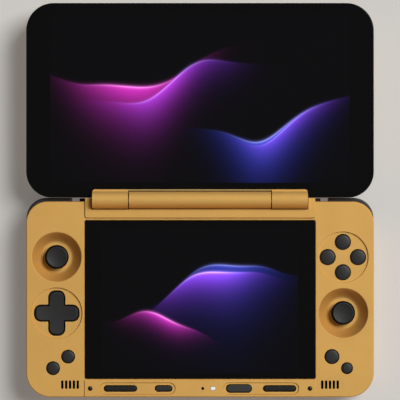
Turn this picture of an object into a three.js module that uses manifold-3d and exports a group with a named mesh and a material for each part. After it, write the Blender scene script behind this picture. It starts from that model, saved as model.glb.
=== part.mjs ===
// A clamshell handheld game console, opened flat: base in front (-Y), lid behind (+Y), hinge axis along X.
// Millimetres, +Z up. The origin is on the floor, straight below the middle of the hinge axis.

import * as THREE from "three";
import { mergeVertices } from "three/addons/utils/BufferGeometryUtils.js";
import Module from "manifold-3d";

const wasm = await Module();
wasm.setup();

// Whole body: displays and front strip fill the middle, and the controls fill a margin on each side
const middleHalf = 59.7;
const marginRim = 1.85;
const rearBand = 16.65;
const faceBand = 16.3;
const controlGap = 2.95;
const rightControlGap = 2.75;
const smallButtonDrop = 9.2;
const smallButtonStep = 6;
const frontMargin = 14.9;
const deckStack = 7;
const axisRise = 0.6;
const seatGap = 0.3;
const overrun = 2;
const mergeTolerance = 1e-4;
const flatShare = 1e-3;
const arcSteps = 5;
const roundSides = 16;
const smallSides = 8;
const barrelSides = 24;

// Base shells
const baseRearSetback = 0.75;
const baseFrontCorner = 12.7;
const baseRearCorner = 10.9;
const baseWall = 2;
const baseDeck = 2.4;
const baseFloor = 2;
const baseTopFillet = 1.2;
const baseBottomFillet = 2.4;
const footStand = 1;
const partingHeight = 8;
const lipWidth = 1;
const lipRise = 1.6;

// Lid
const lidNearEdge = 1.2;
const lidThickness = 9;
const lidFaceDrop = 0.25;
const lidNearCorner = 13.5;
const lidFarCorner = 14.2;
const lidWall = 1.8;
const lidBackThickness = 1.5;
const lidBackFillet = 2.6;
const lidGlassThickness = 0.95;
const lidGlassFillet = 0.35;
const lidFrameThickness = 1.2;
const lidPanelThickness = 2.1;
const lidPanelSideMargin = 10.5;
const lidPanelNearGap = 1.75;
const lidPanelFarMargin = 4;
const lidPostRadius = 2.5;
const lidPostInset = 9;

// Hinge
const barrelRadius = 4.45;
const barrelClearance = 0.4;
const barrelHalf = 36.8;
const knuckleInset = 4;
const barrelBoreRadius = 3.3;
const stripWidth = 0.8;
const hingeFlangeReach = 7;
const hingeFlangeGap = 0.45;
const hingeFloor = 0.5;
const knuckleSetback = 0.3;
const shaftRadius = 1.5;
const shaftEndGap = 0.8;
const shaftEndWall = 2.7;
const cartridgeLength = 12;
const flexRollBore = 1.2;

// Hinge cover behind the lower display
const coverFront = 9.4;
const coverRear = 0.3;
const coverRaise = 0.3;
const coverCorner = 1;

// Lower display
const glassRearGap = 1.15;
const glassFrontGap = 0.8;
const glassSink = 0.2;
const glassThickness = 0.9;
const glassCorner = 0.8;
const ledgeReach = 2;
const openingChamfer = 0.7;
const panelThickness = 1.7;
const panelMargin = 0.35;
const frameThickness = 1.2;
const frameMargin = 1;
const frameRim = 2;

// Inside the base
const boardThickness = 1.2;
const boardEdgeGap = 2;
const boardRear = 4;
const boardShoulder = 15;
const boardShoulderInset = 1.6;
const chipSize = 16;
const chipHeight = 1.6;
const chipX = 20;
const chipY = 30;
const connectorX = 22;
const connectorY = 25;
const connectorLength = 22;
const connectorDepth = 4;
const connectorHeight = 1.5;
const batterySideGap = 3.7;
const batteryRearGap = 2.2;
const batteryFrontGap = 6;
const batteryHeight = 7.4;
const batteryHeadroom = 1.1;
const batteryCorner = 3;
const batteryTabWidth = 20;
const batteryTabDepth = 1.6;

// Cooling
const fanHousingHalf = 17.8;
const fanHeadroom = 2.1;
const fanWall = 1.2;
const fanSideGap = 5.2;
const fanFinGap = 1.8;
const fanSideWall = 2.2;
const fanInletRim = 4.6;
const fanPostRadius = 1.2;
const fanHubRadius = 5.4;
const fanTipGap = 1.4;
const fanBladeWidth = 0.8;
const fanBladeCount = 9;
const fanBladeHeight = 3.6;
const fanPostClearance = 0.25;
const finCount = 8;
const finThickness = 0.8;
const finPitch = 4.6;
const finInner = 8;
const finRear = 4.2;
const finFront = 13.4;
const finFloorGap = 0.7;
const sinkPlate = 1.2;
const sinkSpreadHalf = 12;

// Rear vent panel and charging socket
const ventOverhang = 2.9;
const ventRearReach = 0.3;
const ventFloorGap = 0.5;
const ventTopGap = 0.65;
const ventThickness = 2.2;
const ventCorner = 1.6;
const ventSlotWidth = 2.4;
const grilleSlotWidth = 1.6;
const grillePitch = 4;
const ventSlotHeight = 4.6;
const ventSlotRise = 1.1;
const socketHalf = 4.5;
const socketHeight = 3.2;
const socketDepth = 7.4;
const socketWall = 0.35;

// Shoulder buttons and triggers
const shoulderInset = 7.1;
const shoulderRear = 0.9;
const shoulderCorner = 10.4;
const shoulderSideEnd = 11;
const shoulderDepth = 3;
const shoulderHeight = 5.1;
const triggerDepth = 4;
const triggerFloorGap = 0.4;
const shoulderPinInset = 2.2;
const shoulderPinY = 5.4;
const shoulderPinRadius = 0.9;
const shoulderPinPlay = 0.25;
const shoulderEarRadius = 1.9;
const shoulderArmWidth = 1.8;
const shoulderArmThickness = 2.4;
const shoulderSweep = 2.6;

// Thumbsticks
const controlShare = 0.4785;
const wellTopRadius = 12.85;
const wellFloorRadius = 8.7;
const wellDepth = 4.2;
const wellSkin = 1;
const wellHoleRadius = 5.7;
const stickCapRadius = 6.2;
const stickCapSink = 0.5;
const stickCapRim = 1;
const stickCapTaper = 0.7;
const stickDishRadius = 4.85;
const stickDishDepth = 0.35;
const stickNeckRadius = 3.2;
const stickSides = 14;
const stickPivotDepth = 11;
const skirtWall = 0.7;
const skirtEdgeAngle = 50;
const skirtSteps = 3;
const stickShaftRadius = 1.6;
const stickShaftDrop = 1.3;
const crossPinRadius = 0.7;
const gimbalThickness = 2;
const gimbalBar = 1.6;
const gimbalPlay = 0.7;
const trunnionRadius = 1;
const pinPlay = 0.2;
const stickHousingHalf = 8;
const stickHousingWall = 1.4;
const stickHousingRise = 1;
const stickHousingFloor = 1.2;
const stickBoardHole = 10.6;

// Cross pad
const crossSpan = 23.6;
const crossRim = 1.5;
const crossArm = 8.6;
const crossCorner = 2.9;
const crossGap = 0.5;
const padDishDepth = 0.45;
const padDishSlope = 0.35;
const crossDimpleDepth = 0.45;
const crossStand = 0.4;
const crossFlangeReach = 1.2;
const crossFlangeThickness = 1;
const crossFlangeGap = 1.4;
const rockerRadius = 7;
const rockerThickness = 1;
const rockerSeatGap = 0.5;
const rockerNubRadius = 2.2;
const rockerNubPlay = 0.3;

// Face buttons and small buttons
const faceShare = 0.472;
const faceRadius = 4.15;
const faceSpacing = 2.8;
const faceRim = 1.3;
const buttonGap = 0.3;
const buttonProud = 0.35;
const buttonFlangeReach = 0.75;
const buttonFlangeThickness = 1;
const buttonStemRadius = 1.8;
const buttonStemClearance = 1.1;
const buttonCrown = 0.5;
const upperSmallShare = 0.2838;
const lowerSmallShare = 0.5413;
const smallRadius = 3.3;
const menuRadius = 3.6;
const homeRadius = 2.8;

// Front strip, with its places along X as shares of the middle's half width
const stripWidthY = 8.6;
const stripRaise = 0.25;
const stripLineInset = 4.4;
const nubShare = 0.9531;
const nubRadius = 1;
const nubProud = 0.35;
const pocketDepth = 1;
const padShare = 0.6901;
const padLength = 17.4;
const padHeight = 3.6;
const padProud = 0.1;
const shortKeyShare = -0.3157;
const shortKeyLength = 9.7;
const powerKeyShare = 0.3375;
const powerKeyLength = 13.1;
const powerKeyHeight = 4.1;
const keyProud = 0.25;
const leftSinkShares = [-0.871, -0.211];
const rightSinkShares = [0.1993, 0.861];
const keySinkHeight = 6;
const keySinkDepth = 0.4;
const keyFlangeReach = 0.9;
const keyBodyHeight = 4.6;
const keyFlangeThickness = 1;
const microphoneShare = 0.0235;
const microphoneRadius = 0.75;
const lampShare = 0.1131;
const lampLength = 2.7;
const lampHeight = 1.55;
const lampDrop = 3;

// Speakers
const speakerSlotInset = 7.7;
const speakerSlotPitch = 2;
const speakerSlotCount = 5;
const speakerSlotWidth = 1.05;
const speakerSlotLength = 4.2;
const speakerLineInset = 6.4;
const speakerSideGap = 1.3;
const speakerLip = 0.3;
const speakerHalf = 4;
const speakerHeight = 4;

// Screws and feet
const rearScrewInset = 3.6;
const rearScrewY = 15.5;
const frontScrewSideInset = 7;
const frontScrewInset = 9.5;
const screwHeadRadius = 1.9;
const screwHeadHeight = 1.1;
const screwShankRadius = 0.9;
const screwLength = 9.5;
const screwPlay = 0.3;
const bossRadius = 2.7;
const footSideInset = 16;
const rearFootY = 8;
const frontFootInset = 11;
const footRadius = 4;
const footSeatDepth = 0.9;

// Places across the body
const faceOffset = (2 * faceRadius + faceSpacing) / Math.SQRT2;
const faceDishRadius = faceOffset + faceRadius + faceRim;
const crossDishRadius = crossSpan / 2 + crossRim;
const sideMargin = 2 * (Math.max(faceDishRadius, crossDishRadius, wellTopRadius) + marginRim);
const halfWidth = middleHalf + sideMargin;
const controlX = middleHalf + controlShare * sideMargin;
const faceX = middleHalf + faceShare * sideMargin;
const upperSmallX = middleHalf + upperSmallShare * sideMargin;
const lowerSmallX = middleHalf + lowerSmallShare * sideMargin;
const knuckleInner = barrelHalf + seatGap;
const knuckleEnd = middleHalf - knuckleInset;
const flexRollHalf = barrelHalf - cartridgeLength - 2 * seatGap;
const ventHalf = middleHalf + ventOverhang;
const shoulderInner = middleHalf + shoulderInset;
const shoulderPinX = shoulderInner - shoulderPinInset;
const speakerSlotX = middleHalf + speakerSlotInset;
const lidPanelHalf = halfWidth - lidPanelSideMargin;
const fanX = -fanSideGap - fanHousingHalf;
const fanCavityRadius = fanHousingHalf - fanSideWall;
const fanInletRadius = fanCavityRadius - fanInletRim;
const fanBladeTip = fanCavityRadius - fanTipGap;

// Places from rear to front
const leftStickY = rearBand + wellTopRadius;
const fanY = finFront + fanFinGap + fanHousingHalf;
const crossY = leftStickY + wellTopRadius + controlGap + crossDishRadius;
const faceY = faceBand + faceDishRadius;
const rightStickY = faceY + faceDishRadius + rightControlGap + wellTopRadius;
const upperSmallY = crossY + crossDishRadius + smallButtonDrop;
const lowerSmallY = upperSmallY + smallButtonStep;
const frontReach = lowerSmallY + frontMargin;
const stripRear = frontReach - stripWidthY;
const stripLine = frontReach - stripLineInset;
const glassRear = coverFront + glassRearGap;
const glassFront = stripRear - glassFrontGap;
const speakerLine = frontReach - speakerLineInset;
const barrelSweep = barrelRadius + barrelClearance;
const hingeHousingFar = barrelSweep + stripWidth;

// Heights
const baseBottom = footStand;
const floorTop = baseBottom + baseFloor;
const boardBottom = floorTop + seatGap + batteryHeight + batteryHeadroom;
const boardTop = boardBottom + boardThickness;
const deckHeight = boardTop + deckStack;
const deckUnderside = deckHeight - baseDeck;
const axisHeight = deckHeight + axisRise;
const coverTop = deckHeight + coverRaise;
const coverBottom = axisHeight - barrelRadius - seatGap;
const ventBottom = floorTop + ventFloorGap;
const ventTop = coverBottom - ventTopGap;
const glassTop = deckHeight - glassSink;
const glassBottom = glassTop - glassThickness;
const ledgeTop = glassBottom - seatGap;
const panelBottom = ledgeTop - panelThickness;
const frameTop = panelBottom - seatGap;
const shoulderTop = deckUnderside - seatGap;
const shoulderBottom = shoulderTop - shoulderHeight;
const triggerTop = shoulderBottom - 2 * seatGap;
const triggerBottom = floorTop + triggerFloorGap;
const capTop = deckHeight - stickCapSink;
const wellFloor = deckHeight - wellDepth;
const stickPivotHeight = deckHeight - stickPivotDepth;
const skirtRadius = wellFloor - wellSkin - seatGap - stickPivotHeight;
const skirtInnerRadius = skirtRadius - skirtWall;
const stickHousingTop = boardBottom - seatGap;
const stickHousingBottom = floorTop + stickHousingRise;
const padDishFloor = deckHeight - padDishDepth;
const crossTop = padDishFloor + crossStand;
const stripTop = deckHeight + stripRaise;
const keySinkFloor = stripTop - keySinkDepth;
const crossFlangeTop = deckUnderside - crossFlangeGap;
const rockerBottom = boardTop + rockerSeatGap;
const lidFace = axisHeight - lidFaceDrop;
const lidBottom = lidFace - lidThickness;
const lidFloorTop = lidBottom + lidBackThickness;
const lidGlassBottom = lidFace - lidGlassThickness;
const lidRimTop = lidGlassBottom - seatGap;
const lidPanelBottom = lidRimTop - lidPanelThickness;
const lidFrameTop = lidPanelBottom - seatGap;
const hingeFlangeTop = lidFrameTop - lidFrameThickness - hingeFlangeGap;
const hingeNotchBottom = axisHeight - barrelSweep - hingeFloor;

// Finishes
const gold = { color: 0xc69a54, roughness: 0.42, metalness: 0.25 };
const blackPlastic = { color: 0x2a2b2b, roughness: 0.5, metalness: 0 };
const keyGrey = { color: 0x3e3f3e, roughness: 0.45, metalness: 0.1 };
const blackGlass = { color: 0x111111, roughness: 0.08, metalness: 0 };
const rubber = { color: 0x1c1c1c, roughness: 0.85, metalness: 0 };
const steel = { color: 0x9a9ca0, roughness: 0.35, metalness: 0.9 };
const alloy = { color: 0x7f8286, roughness: 0.5, metalness: 0.7 };
const copper = { color: 0xb87345, roughness: 0.35, metalness: 0.9 };
const boardGreen = { color: 0x1f4a33, roughness: 0.6, metalness: 0 };
const cellGrey = { color: 0x3a3d42, roughness: 0.6, metalness: 0.1 };
const lampWhite = { color: 0xf4f4ee, roughness: 0.3, metalness: 0 };

// Turns a closed three.js geometry into a solid with its faces pointing out.
function solidOf(geometry) {
  const bare = geometry.index ? geometry.toNonIndexed() : geometry.clone();
  bare.deleteAttribute("normal");
  bare.deleteAttribute("uv");
  const merged = mergeVertices(bare, mergeTolerance);
  const corners = merged.index.array;
  const kept = [];
  for (let i = 0; i < corners.length; i += 3) {
    const [a, b, c] = corners.subarray(i, i + 3);
    if (a !== b && b !== c && c !== a) kept.push(a, b, c);
  }
  const build = (triangles) =>
    new wasm.Manifold(
      new wasm.Mesh({
        numProp: 3,
        vertProperties: merged.attributes.position.array,
        triVerts: new Uint32Array(triangles),
      }),
    );
  const made = build(kept);
  return made.volume() > 0 ? made : build(kept.reverse());
}

const join = (first, ...others) => others.reduce((sum, other) => sum.add(other), first);
const cut = (first, ...tools) => tools.reduce((left, tool) => left.subtract(tool), first);

// A flat outline raised from one height to another.
function prism(shape, bottom, top, curveSegments = arcSteps) {
  const geometry = new THREE.ExtrudeGeometry(shape, {
    depth: top - bottom,
    bevelEnabled: false,
    curveSegments,
  });
  geometry.translate(0, 0, bottom);
  return solidOf(geometry);
}

// An outline in the Y-Z plane drawn out along X.
function barAlongX(shape, from, to, curveSegments = arcSteps) {
  const geometry = new THREE.ExtrudeGeometry(shape, { depth: to - from, bevelEnabled: false, curveSegments });
  const turn = new THREE.Matrix4().makeBasis(
    new THREE.Vector3(0, 1, 0),
    new THREE.Vector3(0, 0, 1),
    new THREE.Vector3(1, 0, 0),
  );
  geometry.applyMatrix4(turn);
  geometry.translate(from, 0, 0);
  return solidOf(geometry);
}

// A box between two corners.
function block([x0, y0, z0], [x1, y1, z1]) {
  const geometry = new THREE.BoxGeometry(x1 - x0, y1 - y0, z1 - z0);
  geometry.translate((x0 + x1) / 2, (y0 + y1) / 2, (z0 + z1) / 2);
  return solidOf(geometry);
}

// A profile of [radius, height] points turned about the vertical axis through x, y.
function turned(profile, x = 0, y = 0, sides = roundSides) {
  const points = profile.map(([radius, height]) => new THREE.Vector2(radius, height));
  const geometry = new THREE.LatheGeometry(points, sides);
  geometry.rotateX(Math.PI / 2);
  geometry.translate(x, y, 0);
  return solidOf(geometry);
}

// A round bar about the vertical axis.
function post(radius, bottom, top, x = 0, y = 0, sides = roundSides) {
  const profile = [
    [0, bottom],
    [radius, bottom],
    [radius, top],
    [0, top],
  ];
  return turned(profile, x, y, sides);
}

// A round bar along X or Y, centred on the line through the given point.
function rod(axis, radius, from, to, centre, sides = smallSides) {
  const geometry = new THREE.CylinderGeometry(radius, radius, to - from, sides);
  if (axis === "x") geometry.rotateZ(Math.PI / 2);
  const middle = (from + to) / 2;
  const [x, y, z] = axis === "x" ? [middle, centre[0], centre[1]] : [centre[0], middle, centre[1]];
  geometry.translate(x, y, z);
  return solidOf(geometry);
}

// A rectangle with round corners, given by its edges.
function roundedRectangle(left, right, low, high, radius) {
  const shape = new THREE.Shape();
  shape.moveTo(left + radius, low);
  shape.lineTo(right - radius, low);
  shape.absarc(right - radius, low + radius, radius, -Math.PI / 2, 0);
  shape.absarc(right - radius, high - radius, radius, 0, Math.PI / 2);
  shape.absarc(left + radius, high - radius, radius, Math.PI / 2, Math.PI);
  shape.absarc(left + radius, low + radius, radius, Math.PI, 1.5 * Math.PI);
  return shape;
}

// A bar with round ends, centred on a point.
const pill = (x, y, length, height) =>
  roundedRectangle(
    x - length / 2,
    x + length / 2,
    y - height / 2,
    y + height / 2,
    (1 / 2 - flatShare) * height,
  );

const polygon = (points) => new THREE.Shape(points.map(([u, v]) => new THREE.Vector2(u, v)));

// The points of a body outline drawn a given distance inside its edge.
function outlinePoints(outline, inset, steps = arcSteps) {
  const { half, near, far, nearRadius, farRadius } = outline;
  const corners = [
    [half - nearRadius, near + nearRadius, nearRadius, -1],
    [half - farRadius, far - farRadius, farRadius, 0],
    [farRadius - half, far - farRadius, farRadius, 1],
    [nearRadius - half, near + nearRadius, nearRadius, 2],
  ];
  const points = [];
  for (const [x, y, radius, quarter] of corners) {
    for (let i = 0; i <= steps; i += 1) {
      const angle = (quarter + i / steps) * (Math.PI / 2);
      points.push(
        new THREE.Vector2(x + (radius - inset) * Math.cos(angle), y + (radius - inset) * Math.sin(angle)),
      );
    }
  }
  return points;
}

// A body through the outline's rings, each [inset, height], listed upwards.
function loft(outline, levels) {
  const rings = levels.map(([inset]) => outlinePoints(outline, inset));
  const count = rings[0].length;
  const positions = rings.flatMap((ring, level) => ring.flatMap((p) => [p.x, p.y, levels[level][1]]));
  const index = [];
  for (let level = 0; level + 1 < rings.length; level += 1) {
    for (let i = 0; i < count; i += 1) {
      const next = (i + 1) % count;
      const [a, b] = [level * count + i, level * count + next];
      index.push(a, b, b + count, a, b + count, a + count);
    }
  }
  const top = (rings.length - 1) * count;
  for (const [a, b, c] of THREE.ShapeUtils.triangulateShape(rings[0], [])) index.push(a, c, b);
  for (const [a, b, c] of THREE.ShapeUtils.triangulateShape(rings.at(-1), [])) {
    index.push(top + a, top + b, top + c);
  }
  const geometry = new THREE.BufferGeometry();
  geometry.setAttribute("position", new THREE.Float32BufferAttribute(positions, 3));
  geometry.setIndex(index);
  return solidOf(geometry);
}

// The rings of a rounded edge: at the top of a body, or turned over at its bottom.
function edgeRings(radius, height, atTop, steps = 2) {
  const rings = [];
  for (let i = 0; i <= steps; i += 1) {
    const angle = (i / steps) * (Math.PI / 2);
    const inset = radius * (1 - Math.cos(angle));
    const fromEdge = radius * (1 - Math.sin(angle));
    rings.push([inset, atTop ? height - fromEdge : height + fromEdge]);
  }
  return atTop ? rings : rings.reverse();
}

const baseOutline = {
  half: halfWidth,
  near: -frontReach,
  far: -baseRearSetback,
  nearRadius: baseFrontCorner,
  farRadius: baseRearCorner,
};

const lidOutline = {
  half: halfWidth,
  near: lidNearEdge,
  far: frontReach,
  nearRadius: lidNearCorner,
  farRadius: lidFarCorner,
};

// Shared groups: the base stands still and the lid turns on the hinge axis.
const consoleGroup = new THREE.Group();
const baseGroup = new THREE.Group();
const lidGroup = new THREE.Group();
consoleGroup.add(baseGroup, lidGroup);

function addPiece(parent, name, finish, solid, place = [0, 0, 0]) {
  const data = solid.getMesh();
  const positions = [];
  for (let i = 0; i < data.numVert; i += 1) {
    positions.push(...data.vertProperties.subarray(i * data.numProp, i * data.numProp + 3));
  }
  const geometry = new THREE.BufferGeometry();
  geometry.setAttribute("position", new THREE.Float32BufferAttribute(positions, 3));
  geometry.setIndex(new THREE.BufferAttribute(data.triVerts, 1));
  geometry.computeVertexNormals();
  const mesh = new THREE.Mesh(geometry, new THREE.MeshStandardMaterial(finish));
  mesh.name = name;
  mesh.position.set(...place);
  parent.add(mesh);
}

const sides = [
  { name: "left", sign: -1 },
  { name: "right", sign: 1 },
];

// The two ends along X of a stretch on one side of the middle, lowest first.
const onSide = (sign, inner, outer) => (sign > 0 ? [inner, outer] : [-outer, -inner]);

// Places of the repeated pieces
const sticks = [
  { name: "left", x: -controlX, y: -leftStickY },
  { name: "right", x: controlX, y: -rightStickY },
];

const faceButtons = [
  { name: "face_button_top", x: faceX, y: -faceY + faceOffset },
  { name: "face_button_right", x: faceX + faceOffset, y: -faceY },
  { name: "face_button_bottom", x: faceX, y: -faceY - faceOffset },
  { name: "face_button_left", x: faceX - faceOffset, y: -faceY },
];

const smallButtons = [
  { name: "small_button_left_upper", x: -upperSmallX, y: -upperSmallY, radius: smallRadius },
  { name: "small_button_left_lower", x: -lowerSmallX, y: -lowerSmallY, radius: smallRadius },
  { name: "small_button_right_upper", x: upperSmallX, y: -upperSmallY, radius: menuRadius },
  { name: "small_button_right_lower", x: lowerSmallX, y: -lowerSmallY, radius: homeRadius },
];

const keys = [
  {
    name: "short_key",
    share: shortKeyShare,
    length: shortKeyLength,
    height: padHeight,
    finish: blackPlastic,
  },
  {
    name: "power_key",
    share: powerKeyShare,
    length: powerKeyLength,
    height: powerKeyHeight,
    finish: keyGrey,
  },
];

const screws = [
  { name: "screw_rear_left", x: -middleHalf - rearScrewInset, y: -rearScrewY },
  { name: "screw_rear_right", x: middleHalf + rearScrewInset, y: -rearScrewY },
  { name: "screw_front_left", x: frontScrewSideInset - halfWidth, y: frontScrewInset - frontReach },
  { name: "screw_front_right", x: halfWidth - frontScrewSideInset, y: frontScrewInset - frontReach },
];

const feet = [
  { name: "foot_rear_left", x: footSideInset - halfWidth, y: -rearFootY },
  { name: "foot_rear_right", x: halfWidth - footSideInset, y: -rearFootY },
  { name: "foot_front_left", x: footSideInset - halfWidth, y: frontFootInset - frontReach },
  { name: "foot_front_right", x: halfWidth - footSideInset, y: frontFootInset - frontReach },
];

// The plus-shaped outline of the cross pad, grown by a given amount.
function crossOutline(grow) {
  const reach = crossSpan / 2 + grow;
  const arm = crossArm / 2 + grow;
  const radius = Math.min(crossCorner, (1 - flatShare) * arm);
  const shape = new THREE.Shape();
  for (let quarter = 0; quarter < 4; quarter += 1) {
    const turn = (quarter * Math.PI) / 2;
    const at = (u, v) => [u * Math.cos(turn) - v * Math.sin(turn), u * Math.sin(turn) + v * Math.cos(turn)];
    const inner = at(arm, -arm);
    if (quarter === 0) shape.moveTo(...inner);
    else shape.lineTo(...inner);
    shape.absarc(...at(reach - radius, radius - arm), radius, turn - Math.PI / 2, turn);
    shape.absarc(...at(reach - radius, arm - radius), radius, turn, turn + Math.PI / 2);
  }
  return shape;
}

// The notch for one side's shoulder button and trigger, through wall and lip, with a bay for their ears.
function shoulderWindow(sign) {
  const [near, far] = onSide(sign, shoulderInner - seatGap, halfWidth + overrun);
  const front = -shoulderSideEnd - shoulderSweep;
  const [low, high] = [floorTop + seatGap / 2, deckUnderside];
  const bayInner = shoulderPinX - shoulderEarRadius - 2 * seatGap;
  const [bayNear, bayFar] = onSide(sign, bayInner, shoulderInner);
  return join(
    block([near, front, low], [far, shoulderRear + overrun, high]),
    block([bayNear, front, low], [bayFar, -baseRearSetback - baseWall, high]),
  );
}

// The opening in the rear wall that the vent panel fills.
const ventWindow = () =>
  block(
    [-ventHalf - seatGap, -baseRearSetback - baseWall - lipWidth - overrun, ventBottom - seatGap],
    [ventHalf + seatGap, ventRearReach + overrun, ventTop + seatGap],
  );

// The slot across the deck that holds the hinge cover, with room for the turning knuckles.
const coverSlot = () =>
  block(
    [-middleHalf - seatGap, -coverFront - seatGap, ventTop],
    [middleHalf + seatGap, coverRear + overrun, coverTop + overrun],
  );

// Deck of the base
function stickWell({ x, y }) {
  const rimTop = deckUnderside;
  const bottom = wellFloor - wellSkin;
  const slope = (wellTopRadius - wellFloorRadius) / wellDepth;
  const bowl = turned(
    [
      [0, bottom],
      [wellFloorRadius + wellSkin, bottom],
      [wellFloorRadius + wellSkin + slope * (rimTop - bottom), rimTop],
      [0, rimTop],
    ],
    x,
    y,
  );
  const hollow = turned(
    [
      [0, bottom - overrun],
      [wellHoleRadius, bottom - overrun],
      [wellHoleRadius, wellFloor],
      [wellFloorRadius, wellFloor],
      [wellTopRadius, deckHeight],
      [wellTopRadius, deckHeight + overrun],
      [0, deckHeight + overrun],
    ],
    x,
    y,
  );
  return { bowl, hollow };
}

const dish = (x, y, radius) =>
  turned(
    [
      [0, padDishFloor],
      [radius - padDishSlope, padDishFloor],
      [radius, deckHeight],
      [radius, deckHeight + overrun],
      [0, deckHeight + overrun],
    ],
    x,
    y,
  );

// The stepped opening of the lower display: glass rebate, ledge and a bevelled edge.
function displayOpening() {
  const rebateHalf = middleHalf + seatGap;
  const [near, far] = [-glassFront - seatGap, -glassRear + seatGap];
  const rebate = prism(
    roundedRectangle(-rebateHalf, rebateHalf, near, far, glassCorner + seatGap),
    ledgeTop,
    deckHeight + overrun,
    2,
  );
  const inner = rebateHalf - seatGap - ledgeReach;
  const through = block(
    [-inner, -glassFront + ledgeReach, deckUnderside - overrun],
    [inner, -glassRear - ledgeReach, deckHeight],
  );
  const bevel = barAlongX(
    polygon([
      [near, deckHeight - openingChamfer],
      [near, deckHeight + overrun],
      [near - openingChamfer - overrun, deckHeight + overrun],
    ]),
    -rebateHalf,
    rebateHalf,
  );
  return { rebate, through, bevel };
}

function speakerSlots() {
  const slots = [];
  for (const { sign } of sides) {
    for (let i = 0; i < speakerSlotCount; i += 1) {
      const x = sign * speakerSlotX + (i - (speakerSlotCount - 1) / 2) * speakerSlotPitch;
      slots.push(
        block(
          [x - speakerSlotWidth / 2, -speakerLine - speakerSlotLength / 2, deckUnderside - overrun],
          [x + speakerSlotWidth / 2, -speakerLine + speakerSlotLength / 2, deckHeight + overrun],
        ),
      );
    }
  }
  return slots;
}

function stripCuts() {
  const top = stripTop + overrun;
  const cuts = [];
  for (const shares of [leftSinkShares, rightSinkShares]) {
    const [from, to] = shares.map((share) => share * middleHalf);
    const sink = pill((from + to) / 2, -stripLine, to - from, keySinkHeight);
    cuts.push(prism(sink, keySinkFloor, top, 3));
  }
  for (const { sign } of sides) {
    const padX = sign * padShare * middleHalf;
    const nubX = sign * nubShare * middleHalf;
    const pocket = pill(padX, -stripLine, padLength + 2 * seatGap, padHeight + 2 * seatGap);
    cuts.push(prism(pocket, keySinkFloor - pocketDepth, top, 2));
    cuts.push(post(nubRadius + seatGap, stripTop - pocketDepth, top, nubX, -stripLine, smallSides));
  }
  for (const { share, length, height } of keys) {
    const hole = pill(share * middleHalf, -stripLine, length + 2 * buttonGap, height + 2 * buttonGap);
    cuts.push(prism(hole, deckUnderside - overrun, top, 2));
  }
  const microphoneX = microphoneShare * middleHalf;
  cuts.push(post(microphoneRadius, deckUnderside - overrun, top, microphoneX, -stripLine, smallSides));
  const lampX = lampShare * middleHalf;
  const lampHole = pill(lampX, -stripLine, lampLength + 2 * seatGap, lampHeight + 2 * seatGap);
  cuts.push(prism(lampHole, deckUnderside - overrun, top, 1));
  return cuts;
}

function baseFrontShell() {
  const bottom = partingHeight + seatGap / 2;
  let shell = loft(baseOutline, [[0, bottom], ...edgeRings(baseTopFillet, deckHeight, true)]);
  const hollow = loft(baseOutline, [
    [baseWall, bottom - overrun],
    [baseWall, deckUnderside],
  ]);
  shell = cut(shell, hollow, shoulderWindow(-1), shoulderWindow(1), ventWindow());
  const raised = loft(baseOutline, edgeRings(baseTopFillet, stripTop, true)).intersect(
    block([-middleHalf, -frontReach - overrun, deckUnderside], [middleHalf, -stripRear, stripTop + overrun]),
  );
  const wells = sticks.map(stickWell);
  const opening = displayOpening();
  const pins = sides.map(({ sign }) =>
    post(
      shoulderPinRadius,
      triggerBottom + seatGap,
      deckUnderside + seatGap,
      sign * shoulderPinX,
      -shoulderPinY,
      smallSides,
    ),
  );
  const bosses = screws.map(({ x, y }) =>
    post(bossRadius, bottom, deckUnderside + seatGap, x, y, smallSides),
  );
  const boreTop = baseBottom + screwLength + screwHeadHeight + seatGap;
  const bores = screws.map(({ x, y }) =>
    post(screwShankRadius + screwPlay, bottom - overrun, boreTop, x, y, smallSides),
  );
  shell = join(shell, raised, ...wells.map(({ bowl }) => bowl), ...pins, ...bosses);
  shell = cut(shell, ...bores, ...wells.map(({ hollow: well }) => well));
  shell = cut(shell, opening.rebate, opening.through, opening.bevel, coverSlot());
  shell = cut(shell, dish(-controlX, -crossY, crossDishRadius), dish(faceX, -faceY, faceDishRadius));
  const crossHole = prism(crossOutline(crossGap), deckUnderside - overrun, deckHeight, 2);
  shell = cut(shell, crossHole.translate([-controlX, -crossY, 0]));
  const holes = [
    ...faceButtons.map((button) => ({ ...button, radius: faceRadius })),
    ...smallButtons,
  ].map(({ x, y, radius }) =>
    post(radius + buttonGap, deckUnderside - overrun, deckHeight + overrun, x, y, roundSides),
  );
  return cut(shell, ...holes, ...speakerSlots(), ...stripCuts());
}

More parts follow.
